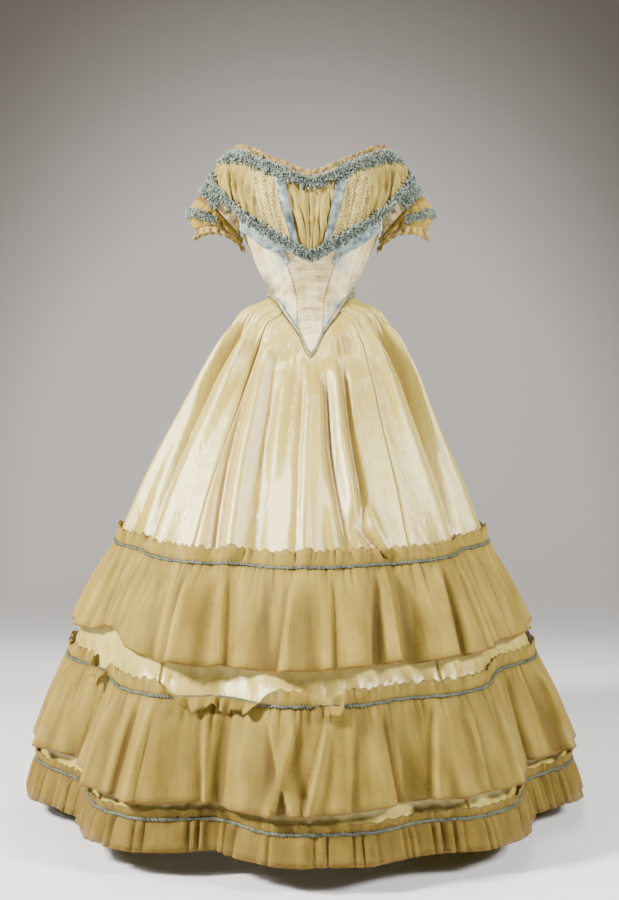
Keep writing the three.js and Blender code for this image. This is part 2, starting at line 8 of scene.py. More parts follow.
import bpy
import numpy as np
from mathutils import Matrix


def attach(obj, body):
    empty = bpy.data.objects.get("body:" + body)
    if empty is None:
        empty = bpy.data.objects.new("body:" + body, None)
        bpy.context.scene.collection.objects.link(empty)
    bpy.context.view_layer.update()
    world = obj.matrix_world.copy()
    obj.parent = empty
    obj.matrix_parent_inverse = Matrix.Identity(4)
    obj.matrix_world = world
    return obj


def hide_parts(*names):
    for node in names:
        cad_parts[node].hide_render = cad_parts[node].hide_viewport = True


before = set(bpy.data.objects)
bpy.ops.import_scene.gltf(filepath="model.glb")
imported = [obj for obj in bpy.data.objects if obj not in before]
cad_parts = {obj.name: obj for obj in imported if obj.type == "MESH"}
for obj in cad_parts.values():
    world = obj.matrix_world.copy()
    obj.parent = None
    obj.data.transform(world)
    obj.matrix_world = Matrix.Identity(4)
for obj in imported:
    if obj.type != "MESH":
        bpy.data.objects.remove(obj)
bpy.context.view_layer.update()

MM = 0.001
TURN = 2 * math.pi
SIDES = {"left": False, "right": True}
SMALLEST_LENGTH = 1e-9

# Thickness of the cloths, in millimetres
SILK = 0.9
SATIN = 0.7
GAUZE = 0.5

# Skirt and flounces, in millimetres and degrees. The steep side of a lapped fold is STEEP_SHARE
# as wide as the other.
HEM_FRONT = -1006
HEM_DROP = 22
SKIRT_SPRING = 24
FRONT_SEAM = 33.75
BACK_SEAM = 101.25
FOLD_RADIUS = 450
STEEP_SHARE = 0.16
HEADING_ROWS = 6
HEADING_UPRIGHT = 88
HEADING_FALLEN = -78
BRAID_STEPS = 1980
BRAID_TWIST = 6.5

# How the skirt's panels are cut: hem radius and length in metres, the fullness of the gathers,
# and the share of a rectangle that a panel fills
HEM_RADIUS = 0.57
SKIRT_LENGTH = 1.06
SKIRT_FULLNESS = 1.25
SKIRT_CUT_SHARE = 0.62

# Bodice, bertha and sleeves
BODICE_TOP_DROP = 6
BERTHA_TOP_DROP = 12
BACK_PANEL_SEAM = 150
ARMHOLE = {"depth": 54, "centre": 228, "rise": 74}
SLEEVE_EASE = 1.9
RUCHE_THICK = 5.5
SLEEVE_RUCHE_THICK = 4.5
CORE_SIDES = 8
SNIP_WIDTH = 3.6
SNIP_THICKNESS = 0.5

# Material nodes: the places of a Mix node's share and colours, threads a metre in a wave texture
# of scale 1 at two threads a wave, and in metres how deep a weave is
MIX_COLOUR_INPUTS = (0, 6, 7)
MIX_COLOUR_OUTPUT = 2
THREADS_AT_SCALE_ONE = 6.28
THREAD_DEPTH = 0.0002
ALPHA_SPREAD = 0.12
BLACK = (0, 0, 0)
WHITE = (1, 1, 1)

# A stain beside the point of the bodice and a fainter one above it: middle and size in metres
STAIN = ((0.066, -0.125, -0.098), (0.03, 0.08, 0.034))
FAINT_STAIN = ((0.052, -0.12, -0.062), (0.028, 0.08, 0.024))
# Where blue shows on the bodice, each on both sides: middle and size in metres, tint, strength
BODICE_BLUES = (
    ((0.098, -0.03, 0.010), (0.034, 0.12, 0.055), (0.03, 0.055, 0.048), 1.5),
    ((0.058, -0.09, -0.022), (0.022, 0.06, 0.034), (0.15, 0.22, 0.21), 1.9),
    ((0.036, -0.10, -0.052), (0.018, 0.05, 0.034), (0.24, 0.32, 0.31), 1.9),
    ((0.064, -0.10, 0.066), (0.028, 0.06, 0.036), (0.34, 0.41, 0.37), 1.6),
)

# Camera, paper and lights, in metres
CAMERA_PLACE = (-0.003, -3.17, -0.006)
CAMERA_SHIFT = -150 / 900
FLOOR_LEVEL = -1.058
PAPER_FRONT = -6.0
PAPER_SIDE = 9
PAPER_TOP = 6.0
BEND_START = 1.6
BEND = 1.4
PAPER_ROUGHNESS = 0.9
FLOOR_COLOUR = (0.66, 0.665, 0.675)
# Painted light on the wall of the paper: darkest far from the dress, lightest behind it
PAINTED_WALL_LIGHT = (
    (0.0, (0.026, 0.023, 0.018)),
    (0.3, (0.07, 0.065, 0.059)),
    (0.8, (0.17, 0.164, 0.156)),
)
LIT_PLACE = (0, 0, -0.4)
LIGHTS = (
    # name, place, size, power, colour
    ("key", (-3.5, -1.7, 2.0), 0.7, 980, (1.0, 0.97, 0.93)),
    ("fill", (3.4, -2.1, 1.9), 0.9, 490, (1.0, 0.98, 0.95)),
    ("top", (0.4, 1.2, 3.2), 1.4, 120, (1.0, 1.0, 1.0)),
)


# Curves and tables
def table(columns, *rows):
    """Short table with named columns, sorted by its first one."""
    ordered = sorted(rows, key=lambda row: row[0])
    return {name: np.array([row[i] for row in ordered], float) for i, name in enumerate(columns)}


def curve(rows, key, column, at):
    """Smooth value of a column between the rows of a table, without overshoot."""
    keys, values = rows[key], rows[column]
    at = np.clip(at, keys[0], keys[-1])
    slope = np.diff(values) / np.diff(keys)
    product = slope[:-1] * slope[1:]
    total = np.where(slope[:-1] + slope[1:] == 0, 1, slope[:-1] + slope[1:])
    inner = np.where(product > 0, 2 * product / total, 0)
    tangent = np.concatenate([slope[:1], inner, slope[-1:]])
    index = np.clip(np.searchsorted(keys, at, side="right") - 1, 0, len(keys) - 2)
    span = keys[index + 1] - keys[index]
    t = (at - keys[index]) / span
    blend = t * t * (3 - 2 * t)
    lean = tangent[index] * t * (1 - t) ** 2 - tangent[index + 1] * t * t * (1 - t)
    return values[index] + (values[index + 1] - values[index]) * blend + lean * span


def lerp(a, b, t):
    return a + (b - a) * t


def ease(share):
    t = np.clip(share, 0, 1)
    return t * t * (3 - 2 * t)


def bell(distance, reach):
    """1 at no distance, falling smoothly to about a third at reach and nearly 0 at twice that."""
    return np.exp(-((distance / reach) ** 2))


def turn_between(a, b):
    """Degrees from b to a, the short way round."""
    return (a - b + 540) % 360 - 180


SKIRT = table(
    ("z", "half", "front", "back", "shift"),
    (0, 91, 84, 80, 0),
    (-12, 116, 88, 96, 0),
    (-32, 146, 93, 126, 0),
    (-60, 166, 100, 156, -1),
    (-100, 195, 112, 190, -2),
    (-124, 209, 121, 207, -3),
    (-160, 229, 144, 232, -4),
    (-230, 262, 190, 276, -8),
    (-300, 297, 236, 318, -12),
    (-380, 335, 288, 366, -15),
    (-456, 366, 335, 402, -18),
    (-508, 388, 366, 428, -19),
    (-620, 440, 420, 484, -20),
    (-740, 486, 468, 536, -19),
    (-850, 524, 500, 578, -17),
    (-960, 556, 518, 610, -14),
    (-1032, 570, 524, 624, -13),
)
BODY = table(
    ("z", "half", "front", "back"),
    (320, 164, 90, 92),
    (300, 163, 95, 98),
    (257, 160, 106, 103),
    (220, 156, 114, 106),
    (180, 152, 120, 106),
    (150, 147, 121, 105),
    (120, 138, 116, 102),
    (95, 127, 108, 97),
    (60, 111, 96, 90),
    (35, 99, 88, 84),
    (0, 91, 84, 80),
    (-30, 104, 92, 84),
    (-60, 122, 99, 90),
    (-90, 137, 108, 96),
    (-124, 152, 121, 102),
)
SKIRT_FOLDS = (
    (-140, 18, 50),
    (-104, 14, 28),
    (-62, 22, 60),
    (-19, 16, 62),
    (24, 13, 28),
    (62, 20, 62),
    (100, 14, 30),
    (138, 18, 50),
    (178, 16, 40),
)
FOLD_GROWTH = table(
    ("z", "share"), (-165, 0), (-300, 0.13), (-508, 0.4), (-740, 0.75), (-952, 0.97), (-1032, 1)
)
WAIST_EDGE = table(
    ("deg", "z"),
    (0, -124),
    (3.75, -111),
    (7.5, -91.5),
    (11.25, -75.5),
    (18.75, -57),
    (26.25, -43.5),
    (37.5, -25),
    (48.75, -12),
    (60, -4),
    (71.25, 0),
    (90, 0),
    (180, -6),
)
NECKLINE = table(
    ("deg", "z"),
    (0, 257),
    (8, 264),
    (21, 280),
    (35, 295),
    (54, 314),
    (65, 317),
    (90, 312),
    (130, 292),
    (180, 272),
)
PRINCESS_SEAM = table(("z", "deg"), (-76, 11.25), (-58, 12.5), (-15, 17), (40, 22.5), (95, 27))
BERTHA_EDGE = table(
    ("deg", "x", "y", "z", "bulge"),
    (0, 0, -113, 79, 14),
    (12, 27, -113, 92, 14),
    (25, 58, -110, 112, 14),
    (45, 100, -99, 138, 13),
    (62, 146, -84, 168, 9),
    (75, 186, -68, 208, 6),
    (82, 200, -44, 232, 5),
    (90, 208, -5, 253, 3),
    (98, 203, 41, 236, 5),
    (105, 189, 69, 212, 6),
    (120, 151, 88, 180, 8),
    (140, 100, 98, 155, 8),
    (160, 52, 109, 140, 7),
    (180, 0, 113, 132, 6),
)
SLEEVE = table(
    ("s", "topX", "topZ", "underX", "underZ", "depth", "arch"),
    (0.2, 190, 264, 151, 141, 54, 0),
    (0.4, 214, 236, 151.5, 134, 54, 4),
    (0.6, 238, 208, 151, 127, 54, 8),
    (0.8, 252, 176, 150, 120, 53, 14),
    (1.0, 244, 141, 148, 112, 49, 20),
    (1.3, 248, 114, 141, 88, 51, 30),
)

# Creases placed on the skirt: heights and degrees of the top, middle and foot, then the
# width, and the rise of a ridge or the fall of a trough
CREASES = (
    (-75, -270, -500, -33, -31, -27, 16, -9),
    (-80, -260, -510, -26, -24, -22.5, 17, 8),
    (-110, -260, -500, -18, -17, -14.5, 26, -9),
    (-90, -180, -330, -18, -13.5, -12, 15, 6),
    (-165, -330, -505, -2.4, -2.2, -1.6, 6, -2.5),
    (-165, -330, -505, 0.4, 0.6, 1.0, 9, 4),
    (-160, -270, -400, 5.5, 5.2, 4.5, 16, 5),
    (-150, -300, -470, 8.8, 9.5, 14, 14, -9),
    (-130, -260, -390, 13.5, 14, 16.5, 13, 8),
    (-130, -260, -420, 17.5, 18.4, 20, 11, -7),
    (-420, -455, -505, 15, 20, 27, 12, -7),
    (-385, -420, -470, 18.5, 22, 25.5, 12, 6),
    (-330, -420, -505, -9, -8.5, -8, 20, -4),
    (-350, -430, -505, 6, 6.5, 7, 12, -3),
    (-60, -230, -500, 44, 47, 51, 22, 7),
    (-50, -230, -480, 56, 60, 62, 20, -14),
    (-50, -230, -500, 68, 70, 73, 18, 9),
    (-60, -230, -500, -44, -47, -51, 22, 8),
    (-50, -230, -480, -58, -62, -60, 20, -12),
    (-50, -230, -500, -68, -73, -76, 20, 9),
)


# Long folds of each flounce: degrees at the braid and at the foot, width and height in
# millimetres, and which side is the steep one, where the gauze laps over itself
FLOUNCE_FOLDS = {
    "upper": (
        (-1.5, -3.5, 42, 15, -1),
        (-10, -7.5, 30, -9, 0),
        (-22.5, -20, 16, 6, 1),
        (-32.5, -31.5, 26, 9, -1),
        (-44, -38, 34, -12, 0),
        (-68, -66.5, 12, -7, 0),
        (-56, -54, 22, 8, 1),
        (8, 6.5, 14, 5, 1),
        (17, 13, 30, 7, 0),
        (21.5, 16.5, 14, -7, 0),
        (24.5, 22, 16, 12, 1),
        (31.5, 27, 30, -9, 0),
        (41, 37, 16, 9, 1),
        (43.5, 40, 7, -8, 0),
        (52, 50, 24, 7, -1),
        (67, 66, 22, 10, 1),
        (84, 83, 26, -8, 0),
        (104, 106, 30, 12, -1),
        (125, 122, 26, -9, 0),
        (150, 148, 32, 13, 1),
        (178, 176, 28, 10, -1),
        (-152, -150, 30, 12, 1),
        (-128, -130, 26, -9, 0),
        (-105, -102, 30, 12, -1),
        (-86, -84, 22, -8, 0),
    ),
    "middle": (
        (-23.5, -21.5, 24, 12, -1),
        (-7, -2, 13, 10, -1),
        (0, -5, 12, 10, 1),
        (-14, -12, 30, 6, 0),
        (-59, -66, 26, -13, 0),
        (-45.5, -46, 14, 9, -1),
        (-48.5, -49, 6, -7, 0),
        (-33.5, -34, 13, 8, 1),
        (-38, -39, 7, -6, 0),
        (-76, -77, 26, 11, -1),
        (6, 0.5, 12, 9, -1),
        (11, 8, 26, 6, 1),
        (18, 19, 8, -9, 0),
        (25, 22, 26, -10, 0),
        (31, 27, 22, 12, -1),
        (39, 37.5, 10, 6, 1),
        (48, 45, 26, 9, -1),
        (65.5, 63, 10, -10, 0),
        (76, 75, 26, 11, -1),
        (97, 99, 28, -9, 0),
        (117, 115, 30, 12, 1),
        (140, 143, 26, -8, 0),
        (164, 160, 32, 13, -1),
        (-166, -164, 32, 12, 1),
        (-142, -140, 26, -9, 0),
        (-118, -120, 30, 12, -1),
        (-97, -96, 26, -8, 0),
    ),
    "lower": (),
}
# The gathered strips. Foot and head are the heights of the flounce and of its heading, and out is
# how far the foot stands off the skirt. Under the braid, fine is how many gathers go round, gather
# how deep they are, and reach how far down they run. Tone is how bright a strip is, as the lower
# ones hang in the shade of those above. Flat is the cut, in metres; the other lengths are in
# millimetres.
STRIPS = {
    "upper": {
        "node": "flounce_upper", "braid": -508, "foot": 177, "head": 28, "out": 19, "fine": 118,
        "gather": 4.8, "reach": 26, "columns": 1080, "rows": 15, "seed": 1.1, "tone": 0.97,
        "flat": (3.6, 0.21),
    },
    "middle": {
        "node": "flounce_middle", "braid": -740, "foot": 177, "head": 27, "out": 19, "fine": 126,
        "gather": 4.8, "reach": 32, "columns": 1080, "rows": 15, "seed": 4.3, "tone": 0.8,
        "flat": (4.2, 0.21),
    },
    "lower": {
        "node": "hem_ruffle", "braid": -952, "foot": 60, "head": 18, "out": 10, "fine": 120,
        "gather": 7.5, "reach": 140, "columns": 1440, "rows": 5, "seed": 2.6, "tone": 0.36,
        "flat": (4.6, 0.085),
    },
}
# Stretches where a flounce's heading has fallen over its braid: middle and half width, in degrees
HEADING_DROOPS = {
    "upper": ((-148, 9), (118, 8)),
    "middle": ((-19, 15), (-60, 8), (6, 4), (104, 9), (-140, 10)),
    "lower": (),
}


# Surfaces, all in millimetres
def level_point(levels, deg, z):
    rad = np.radians(deg)
    depth = np.where(np.cos(rad) > 0, curve(levels, "z", "front", z), curve(levels, "z", "back", z))
    shift = curve(levels, "z", "shift", z) if "shift" in levels else 0
    x = curve(levels, "z", "half", z) * np.sin(rad) + shift
    return np.stack([x, -depth * np.cos(rad), z + 0 * x], axis=-1)


def body_point(deg, z):
    return level_point(BODY, deg, z)


def unit(vectors):
    return vectors / np.linalg.norm(vectors, axis=-1, keepdims=True)


def normal_of(surface, across, up, step_across, step_up):
    right = surface(across + step_across, up) - surface(across - step_across, up)
    rise = surface(across, up + step_up) - surface(across, up - step_up)
    return unit(np.cross(right, rise))


def lifted(surface, across, up, lift, step_across=0.5, step_up=1):
    """Points of a surface, moved out along its normal."""
    normal = normal_of(surface, across, up, step_across, step_up)
    return surface(across, up) + normal * np.asarray(lift)[..., None]


def off_body(deg, z, out):
    return lifted(body_point, deg, z, out)


def waist_edge(deg):
    return np.interp(np.abs(deg), WAIST_EDGE["deg"], WAIST_EDGE["z"])


def neckline(deg):
    return curve(NECKLINE, "deg", "z", np.abs(deg))


def hem_level(deg):
    return HEM_FRONT - HEM_DROP * np.minimum(1, 1 - np.cos(np.radians(deg)))


def fold_hollow(deg, z):
    hollow = 0
    for at, reach, depth in SKIRT_FOLDS:
        share = np.minimum(1, np.abs(turn_between(deg, at)) / reach)
        hollow = np.maximum(hollow, depth * np.cos(share * np.pi / 2) ** 2)
    return hollow * curve(FOLD_GROWTH, "z", "share", z)


def skirt_plain(deg, z):
    below = ease((waist_edge(deg) - z) / SKIRT_SPRING)[..., None]
    point = lerp(body_point(deg, z), level_point(SKIRT, deg, z), below)
    return point - unit(point * (1, 1, 0)) * fold_hollow(deg, z)[..., None]


def ripple(deg, waves, drift, seed):
    """Uneven round-the-body waves, from -1 to 1: spacing and strength both wander."""
    rad = np.radians(deg)
    wander = drift * (np.sin(3 * rad + seed) + 0.6 * np.sin(7 * rad + 2.1 * seed))
    strength = 0.72 + 0.28 * np.sin(5 * rad + 1.7 * seed) * np.sin(11 * rad + seed)
    return strength * np.cos(waves * rad + wander)


def crumples(across, up, size, seed):
    """Crossing creases of no one direction on a cloth, about size apart, from -1 to 1."""
    layers = 5
    total = 0
    for k in range(layers):
        turn = 2.4 * k + seed
        along = across * np.cos(turn) + up * np.sin(turn)
        beside = across * np.sin(turn) - up * np.cos(turn)
        bend = np.sin(beside / size / (1.7 + 0.4 * k) + 3 * k + seed)
        total = total + 1.27 - 2 * np.abs(np.sin(along / size * (1 + 0.23 * k) + 1.6 * bend + k))
    return total / layers


def gathers(deg, z):
    """Gathers that fan out from the waist: soft and sparse in front, close at the sides and back."""
    below = waist_edge(deg) - z
    side = ease((np.abs(turn_between(deg, 0)) - 20) / 25)
    soft = np.interp(below, (0, 8, 30, 82, 165, 270, 390, 500), (0, 2.2, 3.6, 4, 3.2, 2, 1, 0))
    fine = np.interp(below, (0, 6, 20, 60, 130, 200), (0, 1.2, 1.6, 1.1, 0.4, 0))
    swell = soft * ripple(deg, 32, 1.2, 0.4) * lerp(0.25, 1, side)
    return swell + fine * ripple(deg, 97, 2.0, 1.3) * lerp(0.35, 1, side)


def creases(deg, z):
    rise = 0
    for z0, z1, z2, deg0, deg1, deg2, width, height in CREASES:
        middle = np.interp(z, (z2, z1, z0), (deg2, deg1, deg0))
        apart = np.radians(deg - middle) * curve(SKIRT, "z", "half", z) / width
        fade = ease((z0 + 12 - z) / 50) * ease((z - z2 + 45) / 70)
        rise = rise + height * fade * np.exp(-apart * apart)
    return rise


def puckers(deg, z):
    """Short crumples in the taffeta that shows between the tiers."""
    tier = bell(z + 706, 24) + bell(z + 926, 20)
    slant = 8 * deg + 0.5 * z
    waves = 2.4 * ripple(deg + 0.05 * z, 61, 2.5, 0.9)
    return tier * (waves + 4.2 * crumples(slant, 0.6 * z, 7, 0.3) - 5.5)


def skirt_rise(deg, z):
    return gathers(deg, z) + 1.5 * creases(deg, z)


def skirt_point(deg, z):
    return lifted(skirt_plain, deg, z, skirt_rise(deg, z))


def off_skirt(deg, z, out):
    return lifted(skirt_point, deg, z, out, 0.4)


def bertha_point(deg, down):
    turn = np.abs(deg)
    top = off_body(turn, neckline(turn) - BERTHA_TOP_DROP, 3.5 + 1.5 * bell(turn - 90, 25))
    low = np.stack([curve(BERTHA_EDGE, "deg", axis, turn) for axis in "xyz"], axis=-1)
    rad = np.radians(turn)
    out = np.stack([np.sin(rad), -np.cos(rad), 0.3 + 0 * rad], axis=-1) / math.sqrt(1.09)
    bulge = curve(BERTHA_EDGE, "deg", "bulge", turn) * np.sin(np.pi * np.clip(down, 0, 1))
    point = lerp(top, low, np.asarray(down)[..., None]) + out * bulge[..., None]
    point[..., 0] *= np.where(deg < 0, -1.0, 1.0)
    return point


def bertha_length(deg):
    zero = np.zeros_like(deg)
    return np.linalg.norm(bertha_point(deg, zero) - bertha_point(deg, zero + 1), axis=-1)


def sleeve_base(rad):
    """The armhole that the left sleeve is sewn to."""
    y = -(ARMHOLE["depth"] - SLEEVE_EASE) * np.sin(rad)
    z = ARMHOLE["centre"] + (ARMHOLE["rise"] - SLEEVE_EASE) * np.cos(rad)
    reach = np.where(y < 0, curve(BODY, "z", "front", z), curve(BODY, "z", "back", z))
    x = curve(BODY, "z", "half", z) * np.sqrt(1 - (y / reach) ** 2)
    return np.stack([x, y, z + 0 * x], axis=-1)


def sleeve_point(turn, s):
    """The left sleeve: turn is 0 over the shoulder and 90 in front, s runs from armhole to cuff."""
    rad = np.radians(turn)
    first = SLEEVE["s"][0]
    at = np.maximum(s, first)
    share = (1 + np.cos(rad)) / 2
    x = lerp(curve(SLEEVE, "s", "underX", at), curve(SLEEVE, "s", "topX", at), share)
    z = lerp(curve(SLEEVE, "s", "underZ", at), curve(SLEEVE, "s", "topZ", at), share)
    z = z + curve(SLEEVE, "s", "arch", at) * np.sin(rad) ** 2
    ring = np.stack([x, -curve(SLEEVE, "s", "depth", at) * np.sin(rad), z], axis=-1)
    return lerp(sleeve_base(rad), ring, np.clip(s / first, 0, 1)[..., None])


# Material nodes
def make_material(name, roughness, **inputs):
    material = bpy.data.materials.new(name)
    material.use_nodes = True
    shader = material.node_tree.nodes["Principled BSDF"]
    for socket, value in {"Roughness": roughness, **inputs}.items():
        shader.inputs[socket.replace("_", " ")].default_value = value
    return material, material.node_tree, shader


def connect(tree, socket, value):
    """Give an input the output of another node, a colour of three numbers, or a plain value."""
    if isinstance(value, bpy.types.NodeSocket):
        tree.links.new(value, socket)
    else:
        socket.default_value = (*value, 1) if socket.type == "RGBA" else value


def add_node(tree, kind, settings=None, **inputs):
    made = tree.nodes.new(f"ShaderNode{kind}")
    for name, value in (settings or {}).items():
        setattr(made, name, value)
    for name, value in inputs.items():
        connect(tree, made.inputs[name.replace("_", " ")], value)
    return made


def ramp(tree, source, *stops):
    made = add_node(tree, "ValToRGB", Fac=source)
    elements = made.color_ramp.elements
    while len(elements) < len(stops):
        elements.new(0.5)
    for element, (place, colour) in zip(elements, stops):
        element.position = place
        element.color = (*colour, 1)
    return made.outputs["Color"]


def mix(tree, a, b, share, blend="MIX"):
    """Colour a turned into colour b by a share, or the two blended."""
    made = add_node(tree, "Mix", {"data_type": "RGBA", "blend_type": blend})
    for place, value in zip(MIX_COLOUR_INPUTS, (share, a, b)):
        connect(tree, made.inputs[place], value)
    return made.outputs[MIX_COLOUR_OUTPUT]


def operate(tree, kind, operation, *values):
    """Outputs of a Math or VectorMath node on some values."""
    made = add_node(tree, kind, {"operation": operation})
    for socket, value in zip(made.inputs, values):
        connect(tree, socket, value)
    return made.outputs


def maths(tree, operation, a, b):
    return operate(tree, "Math", operation, a, b)["Value"]


def map_range(tree, value, start, stop, low=0.0, high=1.0, easing="LINEAR"):
    spans = {"From_Min": start, "From_Max": stop, "To_Min": low, "To_Max": high}
    made = add_node(tree, "MapRange", {"interpolation_type": easing}, Value=value, **spans)
    return made.outputs["Result"]


def place_texture(tree, coordinates, scale=(1, 1, 1), rotation=0.0):
    where = add_node(tree, "TexCoord").outputs[coordinates]
    made = add_node(tree, "Mapping", Vector=where, Scale=scale, Rotation=(0, 0, rotation))
    return made.outputs["Vector"]


def noise(tree, coordinates, size, scale=(1, 1, 1), detail=3.0):
    """Cloudy noise whose clouds are about size metres across."""
    where = place_texture(tree, coordinates, scale)
    return add_node(tree, "TexNoise", Vector=where, Scale=1 / size, Detail=detail).outputs["Fac"]


def bump(tree, shader, height, distance, strength, under=None):
    made = add_node(tree, "Bump", Height=height, Strength=strength, Distance=distance)
    if under is not None:
        tree.links.new(under, made.inputs["Normal"])
    tree.links.new(made.outputs["Normal"], shader.inputs["Normal"])
    return made.outputs["Normal"]


def weave(tree, shader, thread, under):
    """Over-and-under threads, thread metres apart, on the cloth's own flat coordinates."""
    scale = 1 / thread / THREADS_AT_SCALE_ONE
    heights = []
    for direction, lines in (("X", (1, 0, 0)), ("Y", (0, 1, 0))):
        where = place_texture(tree, "UV", lines)
        inputs = {"Vector": where, "Scale": scale, "Distortion": 0.6, "Detail_Scale": 40}
        wave = add_node(tree, "TexWave", {"bands_direction": direction}, **inputs)
        heights.append(wave.outputs["Fac"])
    bump(tree, shader, maths(tree, "ADD", *heights), THREAD_DEPTH, 0.5, under)


def near(tree, centre, size):
    """A soft blot round a place of the dress, in metres: 1 in the middle and 0 outside."""
    where = add_node(tree, "TexCoord").outputs["Object"]
    away = operate(tree, "VectorMath", "SUBTRACT", where, centre)["Vector"]
    shape = operate(tree, "VectorMath", "DIVIDE", away, size)["Vector"]
    distance = operate(tree, "VectorMath", "LENGTH", shape)["Value"]
    return map_range(tree, distance, 1.0, 0.25, easing="SMOOTHSTEP")


def toned(tree, colour, shade):
    """The colour, darkened towards a shade where a piece's tone is low: painted shade, as down in its
    folds.
    """
    tone = add_node(tree, "Attribute", {"attribute_name": "tone"}).outputs["Fac"]
    return mix(tree, mix(tree, colour, shade, 1.0, "MULTIPLY"), colour, tone)


def near_foot(tree, start, stop):
    """1 where the cloth is less than start metres from its foot, fading to 0 at stop."""
    split = add_node(tree, "SeparateXYZ", Vector=place_texture(tree, "UV"))
    return map_range(tree, split.outputs["Y"], start, stop, 1.0, 0.0)


# Materials
def taffeta():
    material, tree, shader = make_material(
        "ivory_taffeta", 0.27, Sheen_Weight=0.1, Sheen_Roughness=0.35,
        Specular_IOR_Level=0.9, Specular_Tint=(1.0, 0.92, 0.7, 1),
    )
    clouds = noise(tree, "Object", 0.22, detail=4.0)
    colour = ramp(tree, clouds, (0.3, (0.35, 0.262, 0.05)), (0.62, (0.45, 0.36, 0.09)))
    # Painted shade in the folds, creases and puckers, where the piece's tone is low
    colour = toned(tree, colour, (0.50, 0.37, 0.20))
    streaks = noise(tree, "UV", 0.02, (1, 0.06, 1))
    streaks = ramp(tree, streaks, (0.35, (0.88, 0.86, 0.82)), (0.6, WHITE))
    colour = mix(tree, colour, streaks, 0.5, "MULTIPLY")
    faint = maths(tree, "MULTIPLY", near(tree, *FAINT_STAIN), 0.7)
    colour = mix(tree, colour, (0.34, 0.245, 0.02), faint)
    blot = maths(tree, "MULTIPLY", near(tree, *STAIN), noise(tree, "Object", 0.016))
    colour = mix(tree, colour, (0.24, 0.138, 0.0), maths(tree, "MULTIPLY", blot, 3.0))
    tree.links.new(colour, shader.inputs["Base Color"])
    crumple = noise(tree, "Object", 0.022, (1, 1, 0.4), 4.0)
    weave(tree, shader, 0.0011, bump(tree, shader, crumple, 0.004, 0.6))
    return material


def bodice_silk():
    material, tree, shader = make_material("cream_silk", 0.38, Sheen_Weight=0.2, Specular_IOR_Level=0.5)
    clouds = noise(tree, "Object", 0.05, detail=5.0)
    colour = ramp(tree, clouds, (0.3, (0.36, 0.265, 0.085)), (0.6, (0.68, 0.60, 0.31)))
    streaks = noise(tree, "Object", 0.03, (0.5, 1, 3), 4.0)
    for side in (-1, 1):
        for centre, size, tint, strength in BODICE_BLUES:
            blot = near(tree, (side * centre[0], *centre[1:]), size)
            share = maths(tree, "MULTIPLY", blot, maths(tree, "MULTIPLY", streaks, strength))
            colour = mix(tree, colour, tint, share)
    # Fine dark lines across the shirred middle: painted shade of shirring creases too fine for the mesh
    lines = noise(tree, "Object", 0.007, (0.14, 0.5, 1.7))
    lines = ramp(tree, lines, (0.38, (0.62, 0.50, 0.34)), (0.5, WHITE))
    shirred = maths(tree, "MULTIPLY", near(tree, (0, -0.1, 0.01), (0.075, 0.09, 0.12)), 0.8)
    colour = mix(tree, colour, lines, shirred, "MULTIPLY")
    # Painted shade where the piece's tone is low, as in its wrinkles
    tree.links.new(toned(tree, colour, (0.62, 0.48, 0.30)), shader.inputs["Base Color"])
    crumple = noise(tree, "Object", 0.007, (0.22, 1, 1), 4.0)
    weave(tree, shader, 0.0009, bump(tree, shader, crumple, 0.0022, 0.9))
    return material


def sheer(name, dark, light, alpha, crinkle, hemmed=False):
    material, tree, shader = make_material(
        name, 0.7, Sheen_Weight=0.14, Sheen_Roughness=0.4,
        Sheen_Tint=(1.0, 0.8, 0.4, 1), Specular_IOR_Level=0.2,
    )
    streaks = noise(tree, "UV", 0.03, (1, 0.25, 1), 4.0)
    colour = ramp(tree, streaks, (0.25, dark), (0.7, light))
    for scale in ((1, 0.03, 1), (0.03, 1, 1)):
        thread = noise(tree, "UV", 0.002, scale, 2.0)
        thread = ramp(tree, thread, (0.35, (0.92, 0.90, 0.84)), (0.6, WHITE))
        colour = mix(tree, colour, thread, 1.0, "MULTIPLY")
    # Painted shade down in the folds and gathers, where the piece's tone is low
    colour = toned(tree, colour, (0.32, 0.255, 0.115))
    if hemmed:
        colour = mix(tree, colour, (0.17, 0.09, 0.012), near_foot(tree, 0.003, 0.0045))
    tree.links.new(colour, shader.inputs["Base Color"])
    patches = noise(tree, "UV", 0.03, (1, 0.3, 1))
    cover = map_range(tree, patches, 0, 1, alpha - ALPHA_SPREAD, alpha + ALPHA_SPREAD)
    tree.links.new(cover, shader.inputs["Alpha"])
    creased = noise(tree, "UV", 0.01, (1, 0.15, 1))
    weave(tree, shader, 0.0008, bump(tree, shader, creased, crinkle, 0.6))
    return material


